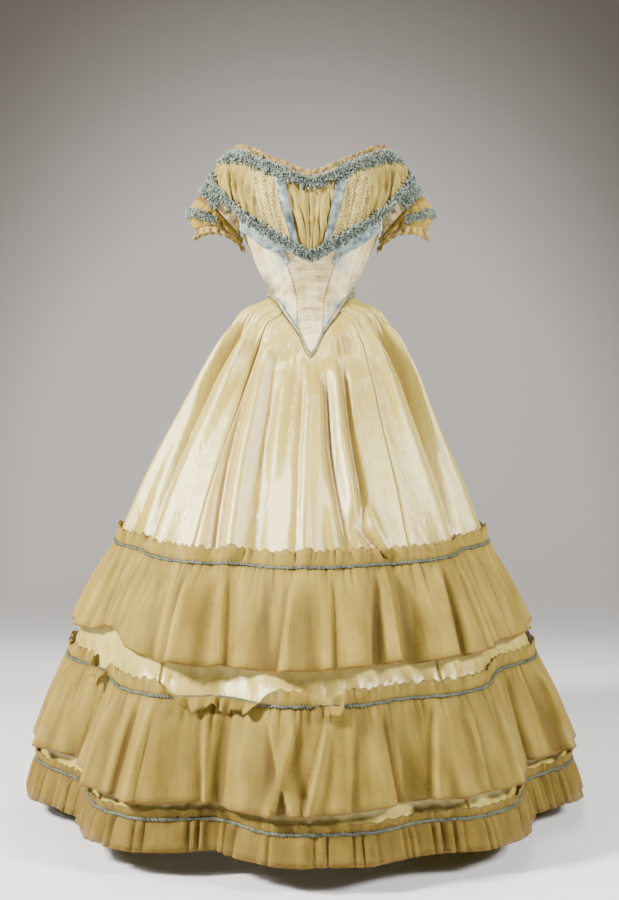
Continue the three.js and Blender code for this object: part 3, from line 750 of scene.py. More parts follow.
def lace(name, ground, motif, hole, size, eyelet):
    """Net with denser sprigs and patches of eyelets: the holes are partly see-through."""
    material, tree, shader = make_material(name, 0.9, Sheen_Weight=0.2)
    where = place_texture(tree, "UV")
    cells = add_node(tree, "TexVoronoi", {"feature": "DISTANCE_TO_EDGE"}, Vector=where, Scale=1 / size)
    dense = ramp(tree, noise(tree, "UV", size * 5, detail=2.0), (0.42, BLACK), (0.52, WHITE))
    thread = ramp(tree, cells.outputs["Distance"], (0.1, WHITE), (0.22, BLACK))
    where = place_texture(tree, "UV", rotation=0.8)
    eyes = add_node(tree, "TexVoronoi", Vector=where, Scale=1 / eyelet, Randomness=0.0)
    eye = ramp(tree, eyes.outputs["Distance"], (0.24, BLACK), (0.32, WHITE))
    patch = ramp(tree, noise(tree, "Object", 0.05, detail=1.0), (0.46, WHITE), (0.5, BLACK))
    net = maths(tree, "MAXIMUM", dense, thread)
    cover = maths(tree, "MINIMUM", net, maths(tree, "MAXIMUM", eye, patch))
    # The holes are painted a dark brown, standing in for the shade seen through them
    colour = mix(tree, (0.13, 0.11, 0.05), ground, cover)
    colour = mix(tree, colour, motif, maths(tree, "MULTIPLY", dense, cover))
    # Painted shade where the piece's tone is low, as in its folds
    tree.links.new(toned(tree, colour, (0.5, 0.4, 0.28)), shader.inputs["Base Color"])
    tree.links.new(map_range(tree, cover, 0, 1, hole, 1.0), shader.inputs["Alpha"])
    bump(tree, shader, cover, 0.0003, 0.4)
    return material


def trimming(name, dark, light, roughness, size, sheen):
    """Plain cloth with clouds of a dark and a light colour, about size metres across."""
    material, tree, shader = make_material(name, roughness, Sheen_Weight=sheen)
    colour = ramp(tree, noise(tree, "Object", size, detail=4.0), (0.32, dark), (0.62, light))
    # Painted shade where the piece's tone is low, as in folds, grooves and deep in a ruche
    tree.links.new(toned(tree, colour, (0.25, 0.27, 0.27)), shader.inputs["Base Color"])
    crumple = noise(tree, "Object", size * 0.6)
    weave(tree, shader, 0.001, bump(tree, shader, crumple, 0.001, 0.4))
    return material


GAUZE_COLOURS = ((0.21, 0.143, 0.017), (0.38, 0.282, 0.054))
CHIFFON_COLOURS = ((0.17, 0.12, 0.017), (0.42, 0.33, 0.085))
LACE_COLOURS = ((0.30, 0.222, 0.04), (0.49, 0.39, 0.105))
GOLD_COLOURS = ((0.16, 0.095, 0.010), (0.40, 0.275, 0.045))
RUCHE_COLOURS = ((0.075, 0.118, 0.088), (0.29, 0.35, 0.265))
BRAID_COLOURS = ((0.02, 0.03, 0.018), (0.13, 0.138, 0.072))
SATIN_COLOURS = ((0.045, 0.08, 0.088), (0.27, 0.33, 0.30))
CREAM_COLOURS = ((0.14, 0.10, 0.028), (0.44, 0.36, 0.16))
WAIST_COLOURS = ((0.07, 0.095, 0.08), (0.34, 0.285, 0.14))
MATERIALS = {
    "taffeta": taffeta(),
    "bodice_silk": bodice_silk(),
    "gauze": sheer("golden_gauze", *GAUZE_COLOURS, alpha=0.76, crinkle=0.0008, hemmed=True),
    "chiffon": sheer("beige_chiffon", *CHIFFON_COLOURS, alpha=0.97, crinkle=0.0014),
    "lace": lace("cream_lace", *LACE_COLOURS, hole=0.95, size=0.0011, eyelet=0.0058),
    "gold_lace": lace("gold_lace", *GOLD_COLOURS, hole=0.6, size=0.0022, eyelet=0.004),
    "ruche": trimming("blue_grey_ruche", *RUCHE_COLOURS, roughness=0.8, size=0.012, sheen=0.4),
    "braid": trimming("blue_grey_braid", *BRAID_COLOURS, roughness=0.6, size=0.008, sheen=0.0),
    "satin": trimming("pale_blue_satin", *SATIN_COLOURS, roughness=0.26, size=0.012, sheen=0.1),
    "cream_satin": trimming("cream_satin", *CREAM_COLOURS, roughness=0.35, size=0.012, sheen=0.2),
}
WAIST_SATIN = trimming("cream_and_blue_satin", *WAIST_COLOURS, roughness=0.35, size=0.02, sheen=0.1)


# Meshes
def hollow_tone(lift, reach, depth, ring=False):
    """Painted shade of a folded cloth, as a tone: 1 at the level round it or above, falling to 0 at depth
    below that.
    """
    weights = np.hanning(2 * reach + 3)[1:-1]
    weights = weights / weights.sum()
    padded = np.pad(lift, ((0, 0), (reach, reach)), mode="wrap" if ring else "edge")
    columns = lift.shape[1]
    level = sum(share * padded[:, k:k + columns] for k, share in enumerate(weights))
    return np.clip(1 + (lift - level) / depth, 0, 1)


def mesh_from(name, points, faces, uv=None, tone=None):
    """Mesh of points in millimetres, with the cloth's flat coordinates in metres, and its tone, a
    darkening of its colour that is mostly painted shade.
    """
    mesh = bpy.data.meshes.new(name)
    mesh.vertices.add(len(points))
    mesh.vertices.foreach_set("co", np.ascontiguousarray(points * MM, dtype=np.float32).ravel())
    mesh.loops.add(faces.size)
    mesh.loops.foreach_set("vertex_index", faces.ravel().astype(np.int32))
    mesh.polygons.add(len(faces))
    starts = np.arange(0, faces.size, faces.shape[1], dtype=np.int32)
    mesh.polygons.foreach_set("loop_start", starts)
    mesh.polygons.foreach_set("use_smooth", np.ones(len(faces), dtype=bool))
    if uv is not None:
        mesh.uv_layers.new(name="cloth").data.foreach_set("uv", uv.astype(np.float32).ravel())
    tones = np.ones(len(points)) if tone is None else tone
    layer = mesh.attributes.new("tone", "FLOAT", "POINT")
    layer.data.foreach_set("value", tones.astype(np.float32))
    mesh.update(calc_edges=True)
    return mesh


def pushed_out(points, lift, ring=False):
    """A grid of points, each moved along the grid's normal there."""
    if ring:
        wrapped = np.concatenate([points[:, -1:], points, points[:, :1]], axis=1)
        across = (wrapped[:, 2:] - wrapped[:, :-2]) / 2
    else:
        across = np.gradient(points, axis=1)
    normal = np.cross(across, np.gradient(points, axis=0))
    length = np.linalg.norm(normal, axis=-1, keepdims=True)
    return points + normal / np.maximum(length, SMALLEST_LENGTH) * np.asarray(lift)[..., None]


def running_length(line):
    lengths = np.linalg.norm(np.diff(line, axis=0), axis=1)
    return np.concatenate([[0], np.cumsum(lengths)]) * MM


def shell(name, points, thickness, ring=False, mirror=False, tone=None):
    """A thin closed shell behind a grid of points: rows run up, columns run across."""
    tone = np.ones(points.shape[:2]) if tone is None else np.clip(tone, 0, 1)
    rows, columns = points.shape[:2]
    inner = pushed_out(points, -thickness, ring)
    both = np.concatenate([points.reshape(-1, 3), inner.reshape(-1, 3)])
    behind = rows * columns
    middle = points[rows // 2]
    u = running_length(np.concatenate([middle, middle[:1]]))
    v = running_length(points[:, 0])
    faces, uvs = [], []

    def at(column, row):
        return row * columns + column % columns

    def put(corners, places):
        faces.append(np.stack(corners, axis=1))
        uvs.append(np.stack([np.stack([u[a], v[b]], axis=-1) for a, b in places], axis=1))

    def close_edge(first, second):
        a, b = at(*first), at(*second)
        put([a, b, behind + b, behind + a], [first, second] * 2)

    k = np.arange(columns if ring else columns - 1)
    i, j = (part.ravel() for part in np.meshgrid(k, np.arange(rows - 1)))
    square = [(i, j), (i + 1, j), (i + 1, j + 1), (i, j + 1)]
    put([at(*place) for place in square], square)
    put([behind + at(*place) for place in square[::-1]], square[::-1])
    top = np.full_like(k, rows - 1)
    close_edge((k + 1, 0 * k), (k, 0 * k))
    close_edge((k, top), (k + 1, top))
    if not ring:
        k = np.arange(rows - 1)
        last = np.full_like(k, columns - 1)
        close_edge((0 * k, k), (0 * k, k + 1))
        close_edge((last, k + 1), (last, k))
    faces, uvs = np.concatenate(faces), np.concatenate(uvs)
    if mirror:
        both = both * (-1, 1, 1)
        faces, uvs = faces[:, ::-1], uvs[:, ::-1]
    return mesh_from(name, both, faces, uvs, np.tile(tone.ravel(), 2))


def tube(centre, out, up, high, wide, closed=True):
    """Points and faces of a tube round a line, and each corner's place along and round it."""
    points = centre[:, None] + out[:, None] * high[..., None] + up[:, None] * wide[..., None]
    count, sides = points.shape[:2]
    k, i = np.meshgrid(np.arange(count if closed else count - 1), np.arange(sides), indexing="ij")
    corners = ((k, i), (k + 1, i), (k + 1, i + 1), (k, i + 1))
    places = np.stack([np.stack(corner, axis=-1) for corner in corners], axis=2)
    faces = places[..., 0] % count * sides + places[..., 1] % sides
    return points.reshape(-1, 3), faces.reshape(-1, 4), places.reshape(-1, 2)


def grid(across, up):
    return np.meshgrid(np.asarray(across, float), np.asarray(up, float))


def around(count):
    return np.linspace(-180, 180, count, endpoint=False)


def steps(start, stop, count):
    return np.linspace(start, stop, count + 1)


# Pieces
def add_object(name, data):
    made = bpy.data.objects.new(name, data)
    bpy.context.scene.collection.objects.link(made)
    return made


def finish_piece(name, mesh, slot, node, cloth=None):
    """Put a piece in the scene, on the body of the dress and in place of a solid."""
    piece = add_object(name, mesh)
    mesh.materials.append(cloth or MATERIALS[slot])
    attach(piece, "root")
    if node:
        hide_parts(node)
    return piece


def finish_sheet(name, mesh, slot, node, flat, held, area=None, rests_on=("bodice_front",), cloth=None):
    piece = finish_piece(name, mesh, slot, node, cloth)


def finish_pair(name, ending, points, tone, thickness, slot, flat, held, ring=False, solid=True, **facts):
    """The left piece and its mirror image on the right."""
    for side, mirror in SIDES.items():
        label = f"{name}_{side}"
        mesh = shell(label, points, thickness, ring, mirror, tone)
        finish_sheet(f"{label}_{ending}", mesh, slot, label if solid else None, flat, held, **facts)


# Camera, floor and light, in metres
def backdrop_paper():
    """Grey paper, lightest behind the dress and on the floor, and clear when seen from its back: the light
    on the wall behind the dress and its dark far parts are painted.
    """
    material, tree, shader = make_material("studio_paper", PAPER_ROUGHNESS, Specular_IOR_Level=0.4)
    # A painted pool of light on the wall behind the dress, fading to dark far from it
    middle = near(tree, (0, 2.4, -0.7), (2.2, 40, 2.4))
    wall = ramp(tree, middle, *PAINTED_WALL_LIGHT)
    split = add_node(tree, "SeparateXYZ", Vector=add_node(tree, "TexCoord").outputs["Object"])
    floor = map_range(tree, split.outputs["Y"], 2.0, 0.2, easing="SMOOTHSTEP")
    tree.links.new(mix(tree, wall, FLOOR_COLOUR, floor), shader.inputs["Base Color"])
    backfacing = add_node(tree, "NewGeometry").outputs["Backfacing"]
    tree.links.new(maths(tree, "SUBTRACT", 1.0, backfacing), shader.inputs["Alpha"])
    gloss = maths(tree, "MULTIPLY", floor, -0.6)
    tree.links.new(maths(tree, "ADD", gloss, PAPER_ROUGHNESS), shader.inputs["Roughness"])
    return material


def place_camera():
    lens = bpy.data.cameras.new("camera")
    camera = add_object("camera", lens)
    lens.lens = 60
    lens.sensor_width = 36
    lens.shift_y = CAMERA_SHIFT
    camera.location = CAMERA_PLACE
    camera.rotation_euler = (math.radians(90), 0, 0)
    bpy.context.scene.camera = camera


def build_backdrop():
    """A sheet of paper that lies flat, bends up behind the dress and hangs from above."""
    profile = [(PAPER_FRONT, 0.0), (BEND_START, 0.0)]
    for a in np.linspace(0.1, math.pi / 2, 14):
        profile.append((BEND_START + BEND * math.sin(a), BEND - BEND * math.cos(a)))
    profile.append((BEND_START + BEND, PAPER_TOP))
    points = np.array([[(x, y, z + FLOOR_LEVEL) for x in (-PAPER_SIDE, PAPER_SIDE)] for y, z in profile])
    faces = np.array([[2 * k, 2 * k + 1, 2 * k + 3, 2 * k + 2] for k in range(len(profile) - 1)])
    paper = add_object("studio_floor", mesh_from("studio_floor", points.reshape(-1, 3) / MM, faces))
    paper.data.materials.append(backdrop_paper())


def build_lights():
    world = bpy.data.worlds.new("studio")
    world.use_nodes = True
    background = world.node_tree.nodes["Background"].inputs
    background["Color"].default_value = (0.95, 0.96, 1.0, 1)
    background["Strength"].default_value = 0.09
    bpy.context.scene.world = world
    for name, place, size, power, colour in LIGHTS:
        data = bpy.data.lights.new(name, "AREA")
        data.size = size
        data.energy = power
        data.color = colour
        lamp = add_object(name, data)
        lamp.location = place
        x, y, z = np.array(LIT_PLACE) - np.array(place)
        lamp.rotation_euler = (math.atan2(math.hypot(x, y), -z), 0, math.atan2(-x, y))


# Skirt
def skirt_rows():
    """Shares of the way from the hem to the waist edge, closest together at the waist."""
    return np.concatenate([steps(0, 0.84, 76)[:-1], steps(0.84, 1, 24)])


def build_skirt():
    panels = (
        ("skirt_front", -FRONT_SEAM, FRONT_SEAM),
        ("skirt_side_left", FRONT_SEAM, BACK_SEAM),
        ("skirt_side_right", -BACK_SEAM, -FRONT_SEAM),
        ("skirt_back_left", BACK_SEAM, 180),
        ("skirt_back_right", -180, -BACK_SEAM),
    )
    for name, start, stop in panels:
        spacing = 1.0 if "back" in name else 0.75
        deg, share = grid(steps(start, stop, round((stop - start) / spacing)), skirt_rows())
        z = lerp(hem_level(deg) + 4, waist_edge(deg) - 1, share)
        crumple = puckers(deg, z)
        from_seam = np.minimum(deg - start, stop - deg) * np.pi / 180 * curve(SKIRT, "z", "half", z)
        points = pushed_out(skirt_point(deg, z), crumple)
        points = pushed_out(points, -1.6 * bell(from_seam, 2.2))
        # Painted shade down in the gathers, creases and puckers, and a dark line along each seam
        tone = hollow_tone(skirt_rise(deg, z) + crumple, 10, 8) - 0.7 * bell(from_seam, 1.2)
        mesh = shell(name, points, SILK, tone=tone)
        width = math.radians(stop - start) * HEM_RADIUS * SKIRT_FULLNESS
        area = width * SKIRT_LENGTH * SKIRT_CUT_SHARE
        finish_sheet(f"{name}_cloth", mesh, "taffeta", name, (width, SKIRT_LENGTH), "gathered", area)


# Flounces
def long_folds(folds, deg, below):
    """The rise of long folds, and how near a place is to the turned edge of a lapped one."""
    rise, crest = 0, 0
    for top, foot, width, height, steep in folds:
        apart = np.radians(turn_between(deg, lerp(top, foot, below))) * FOLD_RADIUS
        side = np.where(apart * steep > 0, STEEP_SHARE, 1.0)
        swell = ease(below * 3.5) * lerp(0.6, 1, below)
        rise = rise + height * swell * np.exp(-((apart / width / side) ** 2))
        if steep:
            crest = np.maximum(crest, swell * bell(apart, 4))
    return rise, crest


def droop(tier, deg):
    """How far the heading has fallen over at a place, from 0 to 1."""
    fallen = 0.0 * deg
    for middle, half in HEADING_DROOPS[tier]:
        share = 1 - ease((np.abs(turn_between(deg, middle)) - half * 0.5) / (half * 0.5))
        fallen = np.maximum(fallen, share * (0.88 + 0.12 * ripple(deg, 47, 3.0, half)))
    return fallen


def pleats(deg, waves, seed):
    """Gathers with round ridges and sharp hollows, from -1 to 1."""
    rad = np.radians(deg)
    wander = 5.0 * (np.sin(3 * rad + seed) + 0.6 * np.sin(8 * rad + 2.1 * seed))
    strength = 0.55 + 0.45 * np.sin(13 * rad + seed) * np.sin(29 * rad + 2 * seed)
    wander = wander + 1.4 * np.sin(41 * rad + seed) + 1.1 * np.sin(67 * rad + 3 * seed)
    return strength * (2 * np.abs(np.cos((waves * rad + wander) / 2)) ** 0.7 - 1)


def foot_drop(tier, deg):
    """The height of a strip's foot from its braid, which is negative."""
    strip = STRIPS[tier]
    if tier == "lower":
        return hem_level(deg) - strip["braid"]
    drop = -strip["foot"] + 4 * np.sin(np.radians(3 * deg))
    drop = drop + 2.5 * ripple(deg, 17, 3.0, strip["seed"])
    return drop + 34 * bell(deg + 55, 15) if tier == "upper" else drop


def gauze_folds(tier, deg, below):
    """Long hanging folds, the gathers under the braid, and the turned edges of the lapped folds."""
    strip = STRIPS[tier]
    seed, fine, foot = strip["seed"], strip["fine"], strip["foot"]
    hang = 4.6 * ease(below * 2) * ripple(deg, 32, 1.6, seed)
    hang = hang + 1.6 * ease(below * 3) * (1 - 0.6 * below) * ripple(deg, 71, 2.5, seed + 1)
    laps, crest = long_folds(FLOUNCE_FOLDS[tier], deg, below)
    hang = hang + 1.7 * laps
    spread = 0.5 * ripple(deg, 19, 2.0, seed + 5) + 0.5 * ripple(deg, 53, 3.0, seed + 7)
    reach = strip["reach"] * np.exp(spread)
    pinch = np.exp(-below * foot / reach) * (1 - np.exp(-below * foot / 3))
    gather = strip["gather"] * pleats(deg, fine, seed + 2) + 2.6 * ripple(deg, fine // 3, 4.0, seed + 6)
    return hang, pinch * gather, crest


def gauze_strip(tier):
    """Points and tones of a gathered strip: heading above the braid, flounce below it."""
    strip = STRIPS[tier]
    foot, head, seed = strip["foot"], strip["head"], strip["seed"]
    lower_rows = -steps(0, 1, strip["rows"])[::-1] ** 1.35 * foot
    deg, rise = grid(around(strip["columns"]), np.append(lower_rows, steps(0, 1, HEADING_ROWS)[1:] * head))
    below = np.clip(-rise / foot, 0, 1)
    above = np.clip(rise / head, 0, 1)
    fallen = droop(tier, deg)
    edge = above * head * (0.07 * ripple(deg, 61, 4.0, seed) + 0.12 * ripple(deg, 137, 6.0, seed + 1))
    hang, gather, crest = gauze_folds(tier, deg, below)
    frill = above ** 0.8 * (3.6 + 3.4 * fallen) * ripple(deg, 67, 5.0, seed + 3)
    frill = frill + above * 4.4 * pleats(deg, strip["fine"], seed + 4)
    out = 2.2 + strip["out"] * below ** 0.8 + 5.5 * above ** 0.7
    lean = np.radians(lerp(HEADING_UPRIGHT, HEADING_FALLEN, fallen))
    length = (rise + edge) * (1 - 0.35 * np.sin(np.pi * fallen))
    over = length * np.sin(lean) + 7 * fallen * np.sin(np.pi * above)
    z = strip["braid"] + np.where(rise < 0, foot_drop(tier, deg) * below, over)
    lift = np.maximum(out + (hang + gather + frill), 1.3)
    lift = lift + np.where(rise > 0, 0.7 * length * np.cos(lean) + 9 * fallen * ease(above * 3), 0)
    # Painted shade down in the long folds, the gathers and the frill, a painted shadow along the braid,
    # and a darker top edge where a heading stands up; the crest adds a painted highlight on the turned
    # edges of lapped folds
    folded = hollow_tone(hang, 16, 6, ring=True) * hollow_tone(gather, 4, 2.6, ring=True)
    frilled = hollow_tone(frill, 4, 6, ring=True)
    shadow = (1 - 0.35 * bell(rise, 7)) * (1 - 0.5 * (above > 0.95) * (1 - fallen))
    tone = 0.86 * folded * frilled * shadow + 0.3 * crest
    return off_skirt(deg, z, lift), tone * strip["tone"]


def build_flounces():
    for tier, strip in STRIPS.items():
        points, tone = gauze_strip(tier)
        node = strip["node"]
        mesh = shell(node, points, GAUZE, ring=True, tone=tone)
        resting = ("skirt_front", "skirt_back_left")
        finish_sheet(f"{node}_cloth", mesh, "gauze", node, strip["flat"], "gathered", rests_on=resting)


def build_braids():
    """A gimp of two twisted strands, laid along each flounce's gathers."""
    deg = around(BRAID_STEPS)
    for tier, strip in STRIPS.items():
        z = strip["braid"] + 0.8 * ripple(deg, 90, 6.0, 0.4)
        centre = skirt_point(deg, z)
        out = normal_of(skirt_point, deg, z, 0.4, 1)
        along = np.roll(centre, -1, axis=0) - np.roll(centre, 1, axis=0)
        up = unit(np.cross(out, along))
        twists = round(float(np.linalg.norm(along, axis=1).sum()) / 2 / BRAID_TWIST)
        angle, ring = np.meshgrid(np.linspace(0, TURN, 6, endpoint=False), np.radians(deg))
        strand = np.cos(angle + twists * ring)
        swell = 1 + 0.34 * strand
        sunk = 3.4 * droop(tier, deg)[:, None]
        high = 4.6 - sunk + 1.9 * swell * np.cos(angle)
        points, faces, places = tube(centre, out, up, high, 3.4 * swell * np.sin(angle))
        # Painted shade in the grooves between the twisted strands
        tone = (0.4 + 0.6 * strand).ravel().clip(0, 1)
        node = f"braid_{tier}"
        mesh = mesh_from(node, points, faces, places * (0.0012, 0.002), tone)
        finish_piece(f"{node}_gimp", mesh, "braid", node)


# Bodice
def armhole_turn(z, reach):
    drop = np.clip((ARMHOLE["centre"] - z) / ARMHOLE["rise"], 0, 1)
    return np.degrees(np.arccos(ARMHOLE["depth"] * np.sqrt(1 - drop * drop) / reach))


def front_hole(z):
    return armhole_turn(z, curve(BODY, "z", "front", z))


def back_hole(z):
    return 180 - armhole_turn(z, curve(BODY, "z", "back", z))


def left_seam(z):
    return curve(PRINCESS_SEAM, "z", "deg", z)


def right_seam(z):
    return -left_seam(z)


def back_seam(z):
    return BACK_PANEL_SEAM + 0 * z


def centre_back(z):
    return 180.0 + 0 * z


def bodice_points(start, stop, columns, rows, wrinkle):
    """Points and tones of a panel between two seams, each the angle at a height."""
    share, rise = grid(steps(0, 1, columns), steps(0, 1, rows))
    deg = lerp(start(0.0 * share), stop(0.0 * share), share)
    for _ in range(10):
        z = lerp(waist_edge(deg) + 0.3, neckline(deg) - BODICE_TOP_DROP, rise)
        deg = lerp(start(z), stop(z), share)
    points = body_point(deg, z)
    width = np.linalg.norm(points[:, :1] - points[:, -1:], axis=-1)
    edge = np.minimum(share, 1 - share) * width
    rises = wrinkle(deg, z)
    lift = rises * ease(edge / 8) - 0.9 * bell(edge, 1.6) + 0.6 * bell(edge - 4, 2.0)
    # A dark line along each seam, and painted shade in the wrinkle troughs
    tone = 1 - 0.6 * bell(edge, 1.8) - 0.75 * np.clip(-rises, 0, 1)
    return pushed_out(points, lift), tone


def shirring(deg, z):
    """Close little cross wrinkles, strongest over the waist."""
    where = np.exp(-(((z + 5) / 105) ** 4))
    patch = 0.6 + 0.4 * np.sin(z / 9 + deg * 0.35) * np.sin(z / 23 - deg * 0.22 + 1)
    wave = 1 - 2 * np.abs(np.sin(z / 2.5 + 0.6 * np.sin(deg * 0.3 + z / 25) + 0.9 * np.sin(z / 31)))
    broad = np.sin(z / 3.6 - 0.6 * np.sin(deg * 0.21 + 1) + 1.1 * np.sin(z / 29))
    return where * patch * (1.1 * wave + 0.6 * broad) + 0.5 * crumples(deg * 1.6, z * 0.8, 7, 0.8)


def strain(deg, z):
    """Soft drag lines towards the waist on the side and back panels."""
    lines = np.sin(z / 4.3 + 0.12 * deg + 1.5 * np.sin(deg * 0.15))
    return bell(z - 5, 60) * 0.7 * lines + 0.5 * np.sin(deg * 0.5 + z / 40)


def build_bodice():
    points, tone = bodice_points(right_seam, left_seam, 40, 170, shirring)
    mesh = shell("bodice_front", points, SILK, tone=tone)
    finish_sheet(
        "bodice_front_cloth", mesh, "bodice_silk", "bodice_front", (0.16, 0.40), "stretched",
        0.16 * 0.40 * 0.62, rests_on=("bodice_side_front_left",),
    )
    panels = (
        ("bodice_side_front", left_seam, front_hole, 36, 90, (0.17, 0.36), 0.6),
        ("bodice_side_back", back_hole, back_seam, 24, 60, (0.13, 0.31), 0.75),
        ("bodice_back", back_seam, centre_back, 16, 60, (0.075, 0.30), 0.8),
    )
    for name, start, stop, columns, rows, flat, share in panels:
        points, tone = bodice_points(start, stop, columns, rows, strain)
        area = flat[0] * flat[1] * share
        finish_pair(name, "cloth", points, tone, SILK, "bodice_silk", flat, "stretched", area=area)


def build_bodice_trim():
    deg, rise = grid(around(360), steps(0, 1, 5))
    hump = np.sin(np.pi * rise)
    lift = 1.6 + 0.7 * hump + 0.25 * ripple(deg, 60, 3.0, 0.2) * hump
    points = off_body(deg, waist_edge(deg) + 1 + 9 * rise, lift)
    # Tone 0.8 along the middle of the band, falling to 0 at both edges: painted shade towards the edges
    mesh = shell("waist_trim", points, SATIN, ring=True, tone=0.8 * hump)
    flat = (0.72, 0.0105)
    finish_sheet("waist_band", mesh, "satin", "waist_trim", flat, "stretched", cloth=WAIST_SATIN)
    share, rise = grid(steps(0, 1, 10), steps(0, 1, 16))
    z = lerp(70, 98, rise)
    points = off_body(left_seam(z) + lerp(-3, 4, share), z, 1.6 + 0.5 * np.sin(np.pi * share))
    finish_pair("seam_tab", "cloth", points, None, SATIN, "satin", (0.016, 0.03), "stretched")


# Bertha
def bertha_piece(neck, edge, columns, folds, depth, hump, seed):
    """Points and tones of a folded piece: degrees at its neck and lower edge, and where it swells."""
    share, rise = grid(steps(0, 1, columns), steps(0, 1, 42))
    down = 1 - rise
    deg = lerp(lerp(neck[0], edge[0], down), lerp(neck[1], edge[1], down), share)
    crown = np.sin(np.pi * np.clip((down - hump[0]) / (hump[1] - hump[0]), 0, 1)) ** 0.8
    bowed = share + 0.09 * np.sin(TURN * 1.3 * share + seed + 2.5 * down) * np.sin(np.pi * share)
    height = 0.6 + 0.4 * np.sin(TURN * 2.3 * share + 2 * seed + 4 * down)
    soft = height * np.abs(np.cos(TURN / 2 * folds * bowed + 0.8 * np.sin(5 * down + seed))) ** 0.7
    points = bertha_point(deg, down)
    width = np.linalg.norm(points[:, :1] - points[:, -1:], axis=-1)
    small = crumples(share * width, 130 * down * 0.5, 9, seed)
    lift = crown * (depth * soft + 0.65 * depth * small)
    # The tone is painted shade down in the folds
    return pushed_out(points, lift), hollow_tone(lift, 6, 0.4 * depth)


def build_bertha():
    front, shoulder = (0.05, 1.0), (0.15, 0.95)
    points, tone = bertha_piece((-24, 24), (-11, 11), 100, 6, 7.0, front, 0.5)
    mesh = shell("bertha_centre", points, GAUZE, tone=tone)
    flat = (0.16, 0.16)
    finish_sheet("bertha_centre_cloth", mesh, "chiffon", "bertha_centre", flat, "gathered", 0.021)
    pieces = (
        ("bertha_lace", "lace", (24, 46), (11, 46), 48, 3, 5.0, front, (0.09, 0.16)),
        ("bertha_shoulder", "chiffon", (46, 90), (46, 90), 84, 5, 9.0, shoulder, (0.16, 0.115)),
        ("bertha_back", "chiffon", (90, 180), (90, 180), 96, 7, 3.0, shoulder, (0.28, 0.12)),
    )
    for name, slot, neck, edge, columns, folds, depth, hump, flat in pieces:
        points, tone = bertha_piece(neck, edge, columns, folds, depth, hump, 1.7)
        finish_pair(name, "cloth", points, tone, GAUZE, slot, flat, "draped")


def build_bertha_satin():
    """Thin strips beside the bertha's centre, and the edges that show under its lower border."""
    share, rise = grid(steps(0, 1, 14), steps(0.02, 0.99, 40))
    down = 1 - rise
    deg = lerp(lerp(20, 9, down), lerp(30, 15, down), share)
    ripples = 2.0 * np.sin(np.pi * share) + 1.6 * crumples(share * 20, down * 130, 9, 2.2)
    points = pushed_out(bertha_point(deg, down), 5.0 + ripples)
    # Dark overall, and darkest at the strip's edges and in the hollows of its crumples: painted shade in
    # those hollows
    tone = 0.15 + 0.22 * ripples
    facts = {"solid": False, "area": 0.0038}
    finish_pair("bertha_strip", "satin", points, tone, 0.6, "satin", (0.026, 0.17), "draped", **facts)
    deg, rise = grid(steps(4, 62, 120), steps(0, 1, 10))
    foot = 1.06 + 0.19 * ease((deg - 20) / 16) * (0.92 + 0.08 * np.sin(deg * 0.3))
    folds = 1.6 * np.sin(np.pi * rise) * (0.6 + crumples(deg * 1.3, rise * 26, 11, 1.2))
    points = pushed_out(bertha_point(deg, lerp(foot, 1.006, rise)), folds)
    # The tone is painted shade down in the folds
    tone = hollow_tone(folds, 4, 2.5)
    finish_pair("satin_edge", "cloth", points, tone, SATIN, "satin", (0.17, 0.02), "stretched")


# Ruches
def snips(centre, out, up, count, half, thick, rng):
    """Many pinked snips of silk, rooted along a line and curling away from it."""
    size = len(centre)
    place = (np.arange(count) + rng.random(count)) / count * (size - 1)
    index = place.astype(int)
    share = (place - index)[:, None]
    after = np.minimum(index + 1, size - 1)
    at, outward, upward = (lerp(line[index], line[after], share) for line in (centre, out, up))
    along = np.cross(upward, outward)
    angle = rng.uniform(-1.75, 1.75, count)[:, None]
    aim = outward * np.cos(angle) + upward * np.sin(angle) + along * rng.normal(0, 0.45, (count, 1))
    aim = unit(aim)
    root = at + outward * (np.cos(angle) * thick * 0.2) + upward * (np.sin(angle) * half * 0.4)
    root = root + upward * rng.normal(0, half * 0.16, (count, 1))
    cross = unit(np.cross(aim, rng.normal(0, 1, (count, 3))))
    bend = np.cross(aim, cross)
    reach = half * 0.85 * rng.uniform(0.6, 1.15, (count, 1))
    reach = reach * lerp(thick / half, 1, np.abs(np.sin(angle)) ** 1.5)
    wide = SNIP_WIDTH * rng.uniform(0.7, 1.25, (count, 1))
    curl = rng.uniform(-0.5, 0.5, (count, 1))
    corners = []
    for t, narrow in ((0.0, 0.7), (0.55, 1.0), (1.0, 0.75)):
        middle = root + aim * reach * t + bend * curl * reach * t * t
        corners += [middle - cross * wide * narrow / 2, middle + cross * wide * narrow / 2]
    front = np.stack(corners, axis=1)
    points = np.concatenate([front, front - bend[:, None] * SNIP_THICKNESS], axis=1)
    square = [(0, 1, 3, 2), (2, 3, 5, 4)]
    behind = [tuple(6 + corner for corner in face[::-1]) for face in square]
    rim = [0, 1, 3, 5, 4, 2]
    sides = [(rim[(k + 1) % 6], rim[k], rim[k] + 6, rim[(k + 1) % 6] + 6) for k in range(6)]
    faces = np.array(square + behind + sides)[None] + (np.arange(count) * 12)[:, None, None]
    # Each snip gets a random brightness, with painted shade towards its root: 0.15 at the root, 0.7
    # halfway, 1 at the tip
    tone = np.repeat(rng.uniform(0.1, 1.0, count), 12) * np.tile([0.15, 0.15, 0.7, 0.7, 1, 1] * 2, count)
    return points.reshape(-1, 3), faces.reshape(-1, 4), tone


